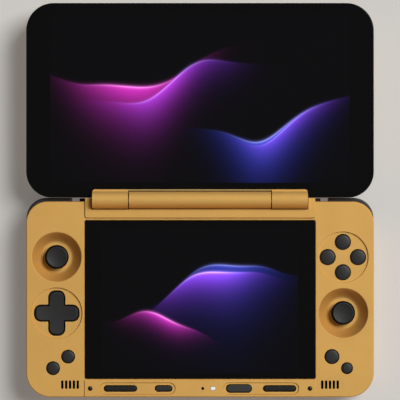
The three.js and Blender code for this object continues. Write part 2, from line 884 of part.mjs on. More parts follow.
// Rear shell of the base, with its lip, screw posts, stick rests and fan grille
function baseRearShell() {
  const top = partingHeight - seatGap / 2;
  const body = loft(baseOutline, [...edgeRings(baseBottomFillet, baseBottom, false), [0, top]]);
  const hollow = loft(baseOutline, [
    [baseWall, floorTop],
    [baseWall, top + overrun],
  ]);
  const lipInset = baseWall + seatGap;
  const lip = cut(
    loft(baseOutline, [
      [baseWall - seatGap, floorTop],
      [baseWall - seatGap, top - seatGap],
      [lipInset, top - seatGap],
      [lipInset, partingHeight + lipRise],
    ]),
    loft(baseOutline, [
      [lipInset + lipWidth, floorTop - overrun],
      [lipInset + lipWidth, partingHeight + lipRise + overrun],
    ]),
  );
  const inner = loft(baseOutline, [
    [baseWall / 2, floorTop - seatGap],
    [baseWall / 2, partingHeight + lipRise],
  ]);
  let shell = join(cut(body, hollow), lip.intersect(inner));
  shell = cut(shell, shoulderWindow(-1), shoulderWindow(1), ventWindow());
  const screwPosts = screws.map(({ x, y }) => post(bossRadius, floorTop - seatGap, top, x, y, smallSides));
  const rests = sticks.map(({ x, y }) =>
    block(
      [x - stickHousingHalf, y - stickHousingHalf, floorTop - seatGap],
      [x + stickHousingHalf, y + stickHousingHalf, stickHousingBottom - seatGap],
    ),
  );
  shell = join(shell, ...screwPosts, ...rests);
  const headRoom = baseBottom + screwHeadHeight + 2 * seatGap;
  for (const { x, y } of screws) {
    shell = cut(
      shell,
      post(screwShankRadius + screwPlay, baseBottom - overrun, top + overrun, x, y, smallSides),
      post(screwHeadRadius + screwPlay, baseBottom - overrun, headRoom, x, y, smallSides),
    );
  }
  for (const { x, y } of feet) {
    shell = cut(
      shell,
      post(footRadius + seatGap, baseBottom - overrun, baseBottom + footSeatDepth, x, y, smallSides),
    );
  }
  return cut(shell, ...fanGrille());
}

// Rows of slots under the fan
function fanGrille() {
  const slots = [];
  const rows = Math.floor((2 * fanInletRadius) / grillePitch);
  for (let i = 0; i < rows; i += 1) {
    const y = -fanY + (i - (rows - 1) / 2) * grillePitch;
    const half = Math.sqrt(fanInletRadius ** 2 - (y + fanY) ** 2);
    const shape = pill(fanX, y, 2 * half, grilleSlotWidth);
    slots.push(prism(shape, baseBottom - overrun, floorTop + overrun, 2));
  }
  return slots;
}

// The cover behind the lower display with the hinge's middle barrel
function baseHingeCover() {
  const plate = block([-middleHalf, -coverFront, coverBottom], [middleHalf, coverRear, coverTop]);
  const softened = prism(
    roundedRectangle(-middleHalf, middleHalf, -coverFront, coverRear + coverCorner, coverCorner),
    coverBottom - overrun,
    coverTop + overrun,
    3,
  );
  const sweepEnd = knuckleEnd + 2 * seatGap;
  const sweep = rod("x", barrelSweep, -sweepEnd, sweepEnd, [0, axisHeight], barrelSides);
  const barrel = rod("x", barrelRadius, -barrelHalf, barrelHalf, [0, axisHeight], barrelSides);
  const middle = block(
    [-barrelHalf, -coverFront, coverBottom],
    [barrelHalf, coverRear, coverTop],
  );
  const bore = rod("x", barrelBoreRadius, -barrelHalf - overrun, barrelHalf + overrun, [0, axisHeight]);
  return cut(join(cut(plate, sweep), middle, barrel).intersect(join(softened, barrel)), bore);
}

function baseDisplay() {
  const glass = prism(
    roundedRectangle(-middleHalf, middleHalf, -glassFront, -glassRear, glassCorner),
    glassBottom,
    glassTop,
    2,
  );
  const inner = middleHalf - ledgeReach - panelMargin;
  const [near, far] = [-glassFront + ledgeReach + panelMargin, -glassRear - ledgeReach - panelMargin];
  const panel = block([-inner, near, panelBottom], [inner, far, ledgeTop]);
  const frameBottom = boardTop + seatGap;
  const outer = inner + frameMargin;
  const plate = block([-outer, near - frameMargin, frameBottom], [outer, far + frameMargin, frameTop]);
  const hollow = block(
    [-outer + frameRim, near - frameMargin + frameRim, frameBottom - overrun],
    [outer - frameRim, far + frameMargin - frameRim, frameTop - frameThickness],
  );
  addPiece(baseGroup, "base_display_glass", blackGlass, glass);
  addPiece(baseGroup, "base_display_panel", cellGrey, panel);
  addPiece(baseGroup, "base_frame", alloy, cut(plate, hollow));
}

function mainBoard() {
  const half = halfWidth - baseWall - boardEdgeGap;
  const boardShoulderHalf = ventHalf - boardShoulderInset;
  const front = -frontReach + baseWall + boardEdgeGap;
  const shape = polygon([
    [-half, front + baseFrontCorner],
    [baseFrontCorner - half, front],
    [half - baseFrontCorner, front],
    [half, front + baseFrontCorner],
    [half, -boardShoulder],
    [boardShoulderHalf, -boardShoulder],
    [boardShoulderHalf, -boardRear],
    [-boardShoulderHalf, -boardRear],
    [-boardShoulderHalf, -boardShoulder],
    [-half, -boardShoulder],
  ]);
  let board = prism(shape, boardBottom, boardTop);
  for (const { x, y } of sticks) {
    board = cut(board, post(stickBoardHole, boardBottom - overrun, boardTop + overrun, x, y));
  }
  for (const { x, y } of screws) {
    const hole = post(bossRadius + 2 * seatGap, boardBottom - overrun, boardTop + overrun, x, y, smallSides);
    board = cut(board, hole);
  }
  const chip = block(
    [chipX - chipSize / 2, -chipY - chipSize / 2, boardBottom - chipHeight],
    [chipX + chipSize / 2, -chipY + chipSize / 2, boardBottom],
  );
  const connectors = [-1, 1].map((sign) =>
    block(
      [sign * connectorX - connectorLength / 2, -connectorY - connectorDepth / 2, boardTop],
      [sign * connectorX + connectorLength / 2, -connectorY + connectorDepth / 2, boardTop + connectorHeight],
    ),
  );
  addPiece(baseGroup, "main_board", boardGreen, join(board, chip, ...connectors));
}

function batteryPack() {
  const bottom = floorTop + seatGap;
  const half = middleHalf - batterySideGap;
  const batteryRear = fanY + fanHousingHalf + batteryRearGap;
  const cells = prism(
    roundedRectangle(-half, half, batteryFrontGap - frontReach, -batteryRear, batteryCorner),
    bottom,
    bottom + batteryHeight,
    3,
  );
  const tab = block(
    [-batteryTabWidth / 2, -batteryRear, bottom],
    [batteryTabWidth / 2, -batteryRear + batteryTabDepth, bottom + batteryHeight / 2],
  );
  addPiece(baseGroup, "battery_pack", cellGrey, join(cells, tab));
}

// Blower with a round chamber that opens to the fins behind it
function coolingFan() {
  const bottom = floorTop + seatGap;
  const top = boardBottom - fanHeadroom;
  const [left, right] = [fanX - fanHousingHalf, fanX + fanHousingHalf];
  const shell = block([left, -fanY - fanHousingHalf, bottom], [right, -fanY + fanHousingHalf, top]);
  const chamber = post(fanCavityRadius, bottom + fanWall, top - fanWall, fanX, -fanY);
  const outlet = block(
    [fanX - fanCavityRadius, -fanY, bottom + fanWall],
    [fanX + fanCavityRadius, -fanY + fanHousingHalf + overrun, top - fanWall],
  );
  const inlet = post(fanInletRadius, bottom - overrun, bottom + 2 * fanWall, fanX, -fanY, smallSides);
  const spindle = post(
    fanPostRadius,
    top - fanWall - fanBladeHeight,
    top - fanWall + seatGap,
    fanX,
    -fanY,
    smallSides,
  );
  addPiece(baseGroup, "fan_housing", blackPlastic, join(cut(shell, chamber, outlet, inlet), spindle));

  const rotorTop = top - fanWall - seatGap;
  const rotorBottom = rotorTop - fanBladeHeight + fanWall;
  let rotor = post(fanHubRadius, rotorBottom, rotorTop, 0, 0, smallSides);
  for (let i = 0; i < fanBladeCount; i += 1) {
    const blade = block(
      [fanHubRadius - fanBladeWidth, -fanBladeWidth / 2, rotorBottom],
      [fanBladeTip, fanBladeWidth / 2, rotorTop],
    );
    rotor = join(rotor, blade.rotate([0, 0, (360 * i) / fanBladeCount]));
  }
  const boreRadius = fanPostRadius + fanPostClearance;
  const bore = post(boreRadius, rotorBottom - overrun, rotorTop + overrun, 0, 0, smallSides);
  addPiece(baseGroup, "fan_rotor", blackPlastic, cut(rotor, bore), [fanX, -fanY, 0]);
}

function heatSink() {
  const top = boardBottom - chipHeight - seatGap;
  const bottom = top - sinkPlate;
  const reach = finInner + (finCount - 1) * finPitch + finThickness;
  const spreader = block(
    [chipX - sinkSpreadHalf, -chipY - chipSize / 2, bottom],
    [chipX + sinkSpreadHalf, -finFront + sinkPlate, top],
  );
  const bridge = block([-reach, -finFront, bottom], [reach, -finFront + sinkPlate, top]);
  let sink = join(spreader, bridge);
  for (const { sign } of sides) {
    const [near, far] = onSide(sign, finInner, reach);
    sink = join(sink, block([near, -finFront, bottom], [far, -finRear, top]));
    for (let i = 0; i < finCount; i += 1) {
      const x = sign * (finInner + i * finPitch + finThickness / 2);
      const fin = block(
        [x - finThickness / 2, -finFront, floorTop + finFloorGap],
        [x + finThickness / 2, -finRear, top],
      );
      sink = join(sink, fin);
    }
  }
  addPiece(baseGroup, "heat_sink", copper, sink);
}

function rearVentPanel() {
  const face = prism(
    roundedRectangle(-ventHalf, ventHalf, ventBottom, ventTop, ventCorner),
    0,
    ventThickness,
    2,
  ).rotate([90, 0, 0]);
  let panel = face.translate([0, ventRearReach, 0]);
  const slotBottom = ventBottom + ventSlotRise;
  for (const { sign } of sides) {
    for (let i = 0; i < finCount; i += 1) {
      const x = sign * (finInner + (i + 1 / 2) * finPitch + finThickness / 2);
      panel = cut(
        panel,
        block(
          [x - ventSlotWidth / 2, ventRearReach - ventThickness - overrun, slotBottom],
          [x + ventSlotWidth / 2, ventRearReach + overrun, slotBottom + ventSlotHeight],
        ),
      );
    }
  }
  const middle = boardBottom - socketHeight / 2;
  const mouth = prism(
    pill(0, middle, 2 * socketHalf + 2 * seatGap, socketHeight + seatGap),
    -ventRearReach - overrun,
    ventThickness + overrun,
    2,
  ).rotate([90, 0, 0]);
  addPiece(baseGroup, "rear_vent_panel", blackPlastic, cut(panel, mouth));

  const socketTop = boardBottom - seatGap / 2;
  const outer = pill(0, socketTop - socketHeight / 2, 2 * socketHalf, socketHeight);
  const inner = pill(
    0,
    socketTop - socketHeight / 2,
    2 * (socketHalf - socketWall),
    socketHeight - 2 * socketWall,
  );
  const socketRear = ventRearReach - seatGap;
  const shell = prism(outer, 0, socketDepth, 2);
  const hollow = prism(inner, -overrun, socketDepth - socketWall, 2);
  const socket = cut(shell, hollow).rotate([90, 0, 0]).translate([0, socketRear, 0]);
  addPiece(baseGroup, "charging_socket", steel, socket);
}

// The curved outline that shoulder button and trigger share, from the rear to the side of one corner
function shoulderBand(depth, bottom, top) {
  const band = (inset) => ({
    half: halfWidth,
    near: -2 * halfWidth,
    far: shoulderRear,
    nearRadius: shoulderCorner,
    farRadius: Math.max(shoulderCorner, inset + seatGap),
  });
  const ring = cut(
    loft(band(0), [
      [0, bottom],
      [0, top],
    ]),
    loft(band(depth), [
      [depth, bottom - overrun],
      [depth, top + overrun],
    ]),
  );
  const keep = block(
    [shoulderInner, -shoulderSideEnd, bottom],
    [halfWidth + overrun, shoulderRear + overrun, top],
  );
  const ear = post(shoulderEarRadius, bottom, top, shoulderPinX, -shoulderPinY, smallSides);
  const armTop = -shoulderPinY + shoulderArmWidth;
  const arm = prism(
    polygon([
      [shoulderPinX, -shoulderPinY - shoulderArmWidth / 2],
      [shoulderInner + shoulderArmThickness, -shoulderPinY - shoulderArmWidth / 2],
      [shoulderInner + shoulderArmThickness, shoulderRear - depth / 2],
      [shoulderInner, shoulderRear - depth / 2],
      [shoulderInner, armTop],
      [shoulderPinX, armTop],
    ]),
    bottom,
    top,
  );
  const bore = post(
    shoulderPinRadius + shoulderPinPlay,
    bottom - overrun,
    top + overrun,
    shoulderPinX,
    -shoulderPinY,
    smallSides,
  );
  return cut(join(ring.intersect(keep), arm, ear), bore);
}

function shoulderPieces() {
  const upper = shoulderBand(shoulderDepth, shoulderBottom, shoulderTop);
  const lower = shoulderBand(triggerDepth, triggerBottom, triggerTop);
  for (const { name, sign } of sides) {
    const facing = (solid) => (sign > 0 ? solid : solid.mirror([1, 0, 0]));
    addPiece(baseGroup, `shoulder_button_${name}`, blackPlastic, facing(upper));
    addPiece(baseGroup, `trigger_${name}`, blackPlastic, facing(lower));
  }
}

// Housing open at the top, with bores for the gimbal's trunnions
function stickHousing() {
  const outer = block(
    [-stickHousingHalf, -stickHousingHalf, stickHousingBottom],
    [stickHousingHalf, stickHousingHalf, stickHousingTop],
  );
  const inner = stickHousingHalf - stickHousingWall;
  const hollow = block(
    [-inner, -inner, stickHousingBottom + stickHousingFloor],
    [inner, inner, stickHousingTop + overrun],
  );
  const bores = rod(
    "x",
    trunnionRadius + pinPlay,
    -stickHousingHalf - overrun,
    stickHousingHalf + overrun,
    [0, stickPivotHeight],
  );
  return cut(outer, hollow, bores);
}

const gimbalInnerX = stickShaftRadius + gimbalPlay;
const gimbalInnerY = stickShaftRadius + gimbalPlay / 2;

function stickGimbal() {
  const [low, high] = [stickPivotHeight - gimbalThickness / 2, stickPivotHeight + gimbalThickness / 2];
  const [outerX, outerY] = [gimbalInnerX + gimbalBar, gimbalInnerY + gimbalBar];
  const ring = cut(
    block([-outerX, -outerY, low], [outerX, outerY, high]),
    block([-gimbalInnerX, -gimbalInnerY, low - overrun], [gimbalInnerX, gimbalInnerY, high + overrun]),
  );
  const reach = stickHousingHalf - seatGap;
  const trunnions = [
    rod("x", trunnionRadius, -reach, -gimbalInnerX - gimbalBar / 2, [0, stickPivotHeight]),
    rod("x", trunnionRadius, gimbalInnerX + gimbalBar / 2, reach, [0, stickPivotHeight]),
  ];
  const boreReach = outerY + overrun;
  const pinBore = rod("y", crossPinRadius + pinPlay, -boreReach, boreReach, [0, stickPivotHeight]);
  return cut(join(ring, ...trunnions), pinBore);
}

// Cap, neck, domed skirt, shaft and cross pin in one moulding
function thumbstick() {
  const capBottom = capTop - stickCapRim;
  const neckTop = capBottom - stickCapTaper;
  const skirt = [];
  for (let i = 0; i <= skirtSteps; i += 1) {
    const angle = THREE.MathUtils.degToRad((skirtEdgeAngle * i) / skirtSteps);
    skirt.push([Math.sin(angle), Math.cos(angle)]);
  }
  const outerDome = skirt.map(([across, up]) => [skirtRadius * across, stickPivotHeight + skirtRadius * up]);
  const innerDome = skirt.map(([across, up]) => [
    skirtInnerRadius * across,
    stickPivotHeight + skirtInnerRadius * up,
  ]);
  const dome = turned([...outerDome, ...innerDome.reverse()], 0, 0, stickSides);
  const neckBottom = stickPivotHeight + (skirtInnerRadius + skirtRadius) / 2;
  const profile = [
    [0, stickPivotHeight - stickShaftDrop],
    [stickShaftRadius, stickPivotHeight - stickShaftDrop],
    [stickShaftRadius, neckBottom],
    [stickNeckRadius, neckBottom],
    [stickNeckRadius, neckTop],
    [stickCapRadius, capBottom],
    [stickCapRadius, capTop - stickDishDepth],
    [stickCapRadius - stickDishDepth, capTop],
    [stickDishRadius, capTop],
    [stickDishRadius - stickDishDepth, capTop - stickDishDepth],
    [0, capTop - stickDishDepth],
  ];
  const body = turned(profile, 0, 0, stickSides);
  const pinReach = gimbalInnerY + gimbalBar;
  const pin = rod("y", crossPinRadius, -pinReach, pinReach, [0, stickPivotHeight]);
  return join(dome, body, pin);
}

function stickPieces() {
  for (const { name, x, y } of sticks) {
    const module = new THREE.Group();
    module.position.set(x, y, 0);
    baseGroup.add(module);
    addPiece(module, `stick_housing_${name}`, blackPlastic, stickHousing());
    addPiece(module, `stick_gimbal_${name}`, steel, stickGimbal());
    addPiece(module, `thumbstick_${name}`, blackPlastic, thumbstick());
  }
}

// Cross pad on its rocker
function crossPad() {
  const pad = new THREE.Group();
  pad.position.set(-controlX, -crossY, 0);
  baseGroup.add(pad);
  const flangeBottom = crossFlangeTop - crossFlangeThickness;
  const cross = join(
    prism(crossOutline(0), crossFlangeTop - seatGap, crossTop, 2),
    prism(crossOutline(crossFlangeReach), flangeBottom, crossFlangeTop, 1),
  );
  const dimple = turned([
    [0, crossTop - crossDimpleDepth],
    [crossArm / 2, crossTop],
    [crossArm / 2, crossTop + overrun],
    [0, crossTop + overrun],
  ]);
  const socket = post(
    rockerNubRadius + rockerNubPlay,
    flangeBottom - overrun,
    flangeBottom + rockerThickness + rockerNubPlay,
    0,
    0,
    smallSides,
  );
  addPiece(pad, "cross_pad", blackPlastic, cut(cross, dimple, socket));
  const rocker = join(
    post(rockerRadius, rockerBottom, rockerBottom + rockerThickness),
    post(rockerNubRadius, rockerBottom, flangeBottom + rockerThickness / 2, 0, 0, smallSides),
  );
  addPiece(pad, "cross_rocker", rubber, rocker);
}

// A round button: crowned cap, retaining flange under the deck and a stem over its switch
function roundButton(radius) {
  const flangeTop = deckUnderside - seatGap;
  const flangeBottom = flangeTop - buttonFlangeThickness;
  const top = deckHeight + buttonProud;
  return turned(
    [
      [0, boardTop + buttonStemClearance],
      [buttonStemRadius, boardTop + buttonStemClearance],
      [buttonStemRadius, flangeBottom],
      [radius + buttonFlangeReach, flangeBottom],
      [radius + buttonFlangeReach, flangeTop],
      [radius, flangeTop],
      [radius, top - buttonCrown],
      [radius - buttonCrown, top],
      [0, top],
    ],
    0,
    0,
    roundSides,
  );
}

function buttonPieces() {
  for (const { name, x, y } of faceButtons) {
    addPiece(baseGroup, name, blackPlastic, roundButton(faceRadius), [x, y, 0]);
  }
  for (const { name, x, y, radius } of smallButtons) {
    addPiece(baseGroup, name, blackPlastic, roundButton(radius), [x, y, 0]);
  }
}

// Front strip: keys, rubber pads, stop nubs and status lamp
function stripPieces() {
  const flangeTop = deckUnderside - seatGap;
  for (const { name, share, length, height, finish } of keys) {
    const keyTop = keySinkFloor + keyProud;
    const cap = prism(pill(0, 0, length, height), keyTop - keyBodyHeight, keyTop, 2);
    const flangeHalf = length / 2 + keyFlangeReach;
    const flange = block(
      [-flangeHalf, -height / 2, flangeTop - keyFlangeThickness],
      [flangeHalf, height / 2, flangeTop],
    );
    const stem = block(
      [-height / 2, -height / 4, boardTop + buttonStemClearance],
      [height / 2, height / 4, flangeTop],
    );
    addPiece(baseGroup, name, finish, join(cap, flange, stem), [share * middleHalf, -stripLine, 0]);
  }
  const padFloor = keySinkFloor - pocketDepth + seatGap;
  const nubTop = stripTop + nubProud;
  for (const { name, sign } of sides) {
    const pad = prism(pill(0, 0, padLength, padHeight), padFloor, stripTop + padProud, 2);
    addPiece(baseGroup, `rubber_pad_${name}`, rubber, pad, [sign * padShare * middleHalf, -stripLine, 0]);
    const nub = turned(
      [
        [0, stripTop - pocketDepth + seatGap],
        [nubRadius, stripTop - pocketDepth + seatGap],
        [nubRadius, stripTop],
        [nubRadius / 2, nubTop],
        [0, nubTop],
      ],
      0,
      0,
      smallSides,
    );
    addPiece(baseGroup, `stop_nub_${name}`, rubber, nub, [sign * nubShare * middleHalf, -stripLine, 0]);
  }
  const lampBottom = deckUnderside - lampDrop;
  const lamp = join(
    prism(pill(0, 0, lampLength, lampHeight), flangeTop, stripTop, 1),
    block([-lampLength, -lampHeight, lampBottom], [lampLength, lampHeight, flangeTop]),
  );
  addPiece(baseGroup, "status_lamp", lampWhite, lamp, [lampShare * middleHalf, -stripLine, 0]);
}

function speakers() {
  const top = deckUnderside - seatGap;
  const slotsHalf = ((speakerSlotCount - 1) * speakerSlotPitch + speakerSlotWidth) / 2;
  const [inner, outer] = [middleHalf + speakerSideGap, speakerSlotX + slotsHalf + speakerLip];
  for (const { name, sign } of sides) {
    const [near, far] = onSide(sign, inner, outer);
    const box = block(
      [near, -speakerLine - speakerHalf, top - speakerHeight],
      [far, -speakerLine + speakerHalf, top],
    );
    addPiece(baseGroup, `speaker_${name}`, blackPlastic, box);
  }
}

function fasteners() {
  for (const { name, x, y } of screws) {
    const headBottom = baseBottom + seatGap;
    const headTop = headBottom + screwHeadHeight;
    const screw = turned(
      [
        [0, headBottom],
        [screwHeadRadius, headBottom],
        [screwHeadRadius, headTop],
        [screwShankRadius, headTop],
        [screwShankRadius, headBottom + screwLength],
        [0, headBottom + screwLength],
      ],
      0,
      0,
      smallSides,
    );
    addPiece(baseGroup, name, steel, screw, [x, y, 0]);
  }
  for (const { name, x, y } of feet) {
    const foot = post(footRadius, 0, baseBottom + footSeatDepth - seatGap, 0, 0, smallSides);
    addPiece(baseGroup, name, rubber, foot, [x, y, 0]);
  }
}

// Friction cartridges and the rolled lead that fill the middle barrel
function barrelContents() {
  const radius = barrelBoreRadius - seatGap;
  const end = barrelHalf - seatGap;
  for (const { name, sign } of sides) {
    const [near, far] = onSide(sign, end - cartridgeLength, end);
    const body = cut(
      rod("x", radius, near, far, [0, axisHeight]),
      rod("x", shaftRadius + seatGap, near - overrun, far + overrun, [0, axisHeight]),
    );
    addPiece(baseGroup, `friction_cartridge_${name}`, steel, body);
  }
  const roll = cut(
    rod("x", radius, -flexRollHalf, flexRollHalf, [0, axisHeight]),
    rod("x", flexRollBore, -flexRollHalf - overrun, flexRollHalf + overrun, [0, axisHeight]),
  );
  addPiece(baseGroup, "hinge_flex_roll", copper, roll);
}

// Lid
function hingeNotch(grow, top) {
  return block(
    [-knuckleEnd - grow, -overrun, hingeNotchBottom],
    [knuckleEnd + grow, hingeHousingFar + grow, top],
  );
}

function lidPieces() {
  const outer = loft(lidOutline, [...edgeRings(lidBackFillet, lidBottom, false), [0, lidRimTop]]);
  const hollow = loft(lidOutline, [
    [lidWall, lidFloorTop],
    [lidWall, lidRimTop + overrun],
  ]);
  const cover = cut(outer, hollow, hingeNotch(seatGap, lidFace + overrun));
  addPiece(lidGroup, "lid_back_cover", gold, cover);

  const glass = cut(
    loft(lidOutline, [[0, lidGlassBottom], ...edgeRings(lidGlassFillet, lidFace, true, 2)]),
    hingeNotch(seatGap, lidFace + overrun),
  );
  addPiece(lidGroup, "lid_front_glass", blackGlass, glass);

  const [near, far] = [hingeHousingFar + lidPanelNearGap, frontReach - lidPanelFarMargin];
  const panel = block([-lidPanelHalf, near, lidPanelBottom], [lidPanelHalf, far, lidRimTop]);
  addPiece(lidGroup, "lid_display_panel", cellGrey, panel);

  const inset = lidWall + seatGap;
  const rim = cut(
    loft(lidOutline, [
      [inset, lidFrameTop - lidFrameThickness],
      [inset, lidRimTop],
    ]),
    block(
      [-lidPanelHalf - seatGap, near - seatGap, lidFrameTop],
      [lidPanelHalf + seatGap, far + seatGap, lidRimTop + overrun],
    ),
    hingeNotch(2 * seatGap, lidFace + overrun),
  );
  const posts = [];
  for (const x of [lidPostInset - halfWidth, halfWidth - lidPostInset]) {
    for (const y of [lidNearEdge + 2 * lidPostInset, frontReach - lidPostInset]) {
      posts.push(post(lidPostRadius, lidFloorTop + seatGap, lidFrameTop, x, y, smallSides));
    }
  }
  addPiece(lidGroup, "lid_frame", alloy, join(rim, ...posts));
}

function lidHinge() {
  const flangeBottom = lidFloorTop + seatGap;
  const inner = lidNearEdge + lidWall + seatGap;
  const notchBottom = hingeNotchBottom + seatGap;
  const bridge = polygon([
    [inner, flangeBottom],
    [hingeHousingFar + hingeFlangeReach, flangeBottom],
    [hingeHousingFar + hingeFlangeReach, hingeFlangeTop],
    [hingeHousingFar, hingeFlangeTop],
    [hingeHousingFar, lidFace],
    [lidNearEdge + knuckleSetback, lidFace],
    [lidNearEdge + knuckleSetback, notchBottom],
    [inner, notchBottom],
  ]);
  const [shaftFrom, shaftTo] = [flexRollHalf + shaftEndGap, knuckleEnd - shaftEndWall];
  const sweep = rod("x", barrelSweep, -knuckleInner, knuckleInner, [0, axisHeight], barrelSides);
  let housing = cut(barAlongX(bridge, -knuckleEnd, knuckleEnd), sweep);
  for (const { sign } of sides) {
    const [near, far] = onSide(sign, knuckleInner, knuckleEnd);
    housing = join(housing, rod("x", barrelRadius, near, far, [0, axisHeight], barrelSides));
    const [boreFrom, boreTo] = onSide(sign, knuckleInner - overrun, shaftTo + seatGap);
    housing = cut(housing, rod("x", shaftRadius + seatGap, boreFrom, boreTo, [0, axisHeight]));
  }
  addPiece(lidGroup, "lid_hinge_housing", gold, housing);
  for (const { name, sign } of sides) {
    const [from, to] = onSide(sign, shaftFrom, shaftTo);
    addPiece(lidGroup, `hinge_shaft_${name}`, steel, rod("x", shaftRadius, from, to, [0, axisHeight]));
  }
}

addPiece(baseGroup, "base_front_shell", gold, baseFrontShell());
addPiece(baseGroup, "base_rear_shell", gold, baseRearShell());
addPiece(baseGroup, "base_hinge_cover", gold, baseHingeCover());
baseDisplay();
mainBoard();
batteryPack();
coolingFan();
heatSink();
rearVentPanel();
shoulderPieces();
stickPieces();
crossPad();
buttonPieces();
stripPieces();
speakers();
fasteners();
barrelContents();
lidPieces();
lidHinge();

export default consoleGroup;
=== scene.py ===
"""A clamshell handheld game console with two displays, opened flat on a pale floor.

Lengths are in millimetres until a mesh becomes a piece. The origin lies on the floor below the middle of the
hinge axis. X runs to the right, Y towards the far edge of the lid and Z up.
"""

import logging
import math
from dataclasses import dataclass, field, replace
from enum import Enum
from typing import Callable, Iterable, Optional, Sequence, Union

import bpy
from mathutils import Matrix, Vector


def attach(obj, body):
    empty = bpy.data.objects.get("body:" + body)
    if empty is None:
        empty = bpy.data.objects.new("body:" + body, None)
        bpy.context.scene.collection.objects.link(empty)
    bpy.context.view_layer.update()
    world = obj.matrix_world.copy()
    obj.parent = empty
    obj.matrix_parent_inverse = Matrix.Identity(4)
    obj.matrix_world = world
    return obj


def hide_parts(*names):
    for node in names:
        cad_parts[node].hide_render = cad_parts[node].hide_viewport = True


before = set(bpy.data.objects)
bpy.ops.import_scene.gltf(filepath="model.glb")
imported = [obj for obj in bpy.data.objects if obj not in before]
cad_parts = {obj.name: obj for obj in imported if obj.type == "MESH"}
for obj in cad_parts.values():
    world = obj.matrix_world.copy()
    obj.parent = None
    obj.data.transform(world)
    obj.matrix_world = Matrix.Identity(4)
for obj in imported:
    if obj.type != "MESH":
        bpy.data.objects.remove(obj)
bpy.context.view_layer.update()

MM = 0.001
log = logging.getLogger("console")

Pair = tuple[float, float]
Triple = tuple[float, float, float]
Colour = tuple[float, float, float, float]
Bounds = tuple[float, float, float, float, float]
Profile = list[Pair]

# How far a cutter reaches beyond the surface that it opens
CLEAR = 3.0
# The corner radius of a bar with round ends, as a share of its shorter side
END_SHARE = 0.499
ORIGIN: Pair = (0.0, 0.0)


class Combine(Enum):
    """How one solid acts on another."""

    JOIN = "UNION"
    CUT = "DIFFERENCE"
    MEET = "INTERSECT"


class Side(Enum):
    """Left or right of the middle, with the sign of X there."""

    LEFT = -1
    RIGHT = 1

    @property
    def word(self) -> str:
        """The side's name as the pieces use it."""
        return self.name.lower()


# Outlines and profiles


def arc(centre: Pair, radius: float, start: float, end: float, steps: int) -> list[Pair]:
    """Lists points on an arc.

    Args:
        centre: its middle.
        radius: its radius.
        start: the angle of its first point, in degrees.
        end: the angle of its last point, in degrees.
        steps: how many stretches it has.

    Returns:
        The points, both ends among them.
    """
    angles = [math.radians(start + (end - start) * i / steps) for i in range(steps + 1)]
    return [(centre[0] + radius * math.cos(angle), centre[1] + radius * math.sin(angle)) for angle in angles]


@dataclass(frozen=True)
class Slab:
    """A rectangle with a radius at each corner, from the near right one counterclockwise."""

    left: float
    right: float
    near: float
    far: float
    radii: tuple[float, float, float, float]
    steps: int = 10

    def points(self, grow: float) -> list[Pair]:
        """Lists the outline's points.

        Args:
            grow: how far the edge moves out.

        Returns:
            The points, counterclockwise.
        """
        least = 0.01
        corners = (
            (self.right, self.near, -1, 1, -90),
            (self.right, self.far, -1, -1, 0),
            (self.left, self.far, 1, -1, 90),
            (self.left, self.near, 1, 1, 180),
        )
        made = []
        for (x, y, inward_x, inward_y, start), radius in zip(corners, self.radii):
            grown = max(radius + grow, least)
            centre = (x + inward_x * (grown - grow), y + inward_y * (grown - grow))
            made += arc(centre, grown, start, start + 90, self.steps)
        return made


def box_outline(left: float, right: float, near: float, far: float, radius: float, steps: int = 10) -> Slab:
    """A rectangle whose four corners are alike."""
    return Slab(left, right, near, far, (radius,) * 4, steps)


def pill(x: float, y: float, length: float, height: float, steps: int = 10) -> Slab:
    """A bar with round ends, centred on a point."""
    ends = END_SHARE * min(length, height)
    return box_outline(x - length / 2, x + length / 2, y - height / 2, y + height / 2, ends, steps)


@dataclass(frozen=True)
class Disc:
    """A circle about a point."""

    x: float
    y: float
    radius: float
    sides: int = 64

    def points(self, grow: float) -> list[Pair]:
        """The circle's points, counterclockwise, with its radius grown."""
        return arc((self.x, self.y), self.radius + grow, 0, 360, self.sides)[:-1]


@dataclass(frozen=True)
class Plus:
    """The outline of a cross pad, with round ends to its four arms."""

    x: float
    y: float
    span: float
    arm: float
    corner: float
    inner: float = 0.5
    steps: int = 7

    def points(self, grow: float) -> list[Pair]:
        """Lists the outline's points.

        Args:
            grow: how far the edge moves out.

        Returns:
            The points, counterclockwise.
        """
        fullest_share, least = 0.98, 0.02
        reach, half = self.span / 2 + grow, self.arm / 2 + grow
        corner = min(self.corner + grow, fullest_share * half)
        inner = max(self.inner - grow, least)
        arm = [
            *arc((half + inner, -half - inner), inner, 180, 90, self.steps),
            *arc((reach - corner, corner - half), corner, -90, 0, self.steps),
            *arc((reach - corner, half - corner), corner, 0, 90, self.steps),
        ]
        made = []
        for cos, sin in ((1, 0), (0, 1), (-1, 0), (0, -1)):
            made += [(self.x + a * cos - b * sin, self.y + a * sin + b * cos) for a, b in arm]
        return made


@dataclass(frozen=True)
class Band:
    """A strip of even width along a path, with square ends."""

    path: tuple[Pair, ...]
    width: float

    def points(self, grow: float) -> list[Pair]:
        """Lists the outline's points.

        Args:
            grow: how far the edge moves out, ends included.

        Returns:
            The points, counterclockwise for a path that turns left.
        """
        spine = [Vector(p) for p in self.path]
        spine[0] = spine[0] + (spine[0] - spine[1]).normalized() * grow
        spine[-1] = spine[-1] + (spine[-1] - spine[-2]).normalized() * grow
        outer, inner = [], []
        for i, p in enumerate(spine):
            along = (spine[min(i + 1, len(spine) - 1)] - spine[max(i - 1, 0)]).normalized()
            across = Vector((along.y, -along.x)) * (self.width / 2 + grow)
            outer.append(tuple(p + across))
            inner.append(tuple(p - across))
        return outer + inner[::-1]


@dataclass(frozen=True)
class Polygon:
    """A fixed outline, which doesn't grow."""

    corners: tuple[Pair, ...]

    def points(self, grow: float) -> list[Pair]:
        """The corners as they are."""
        return list(self.corners)


Outline = Union[Slab, Disc, Plus, Band, Polygon]


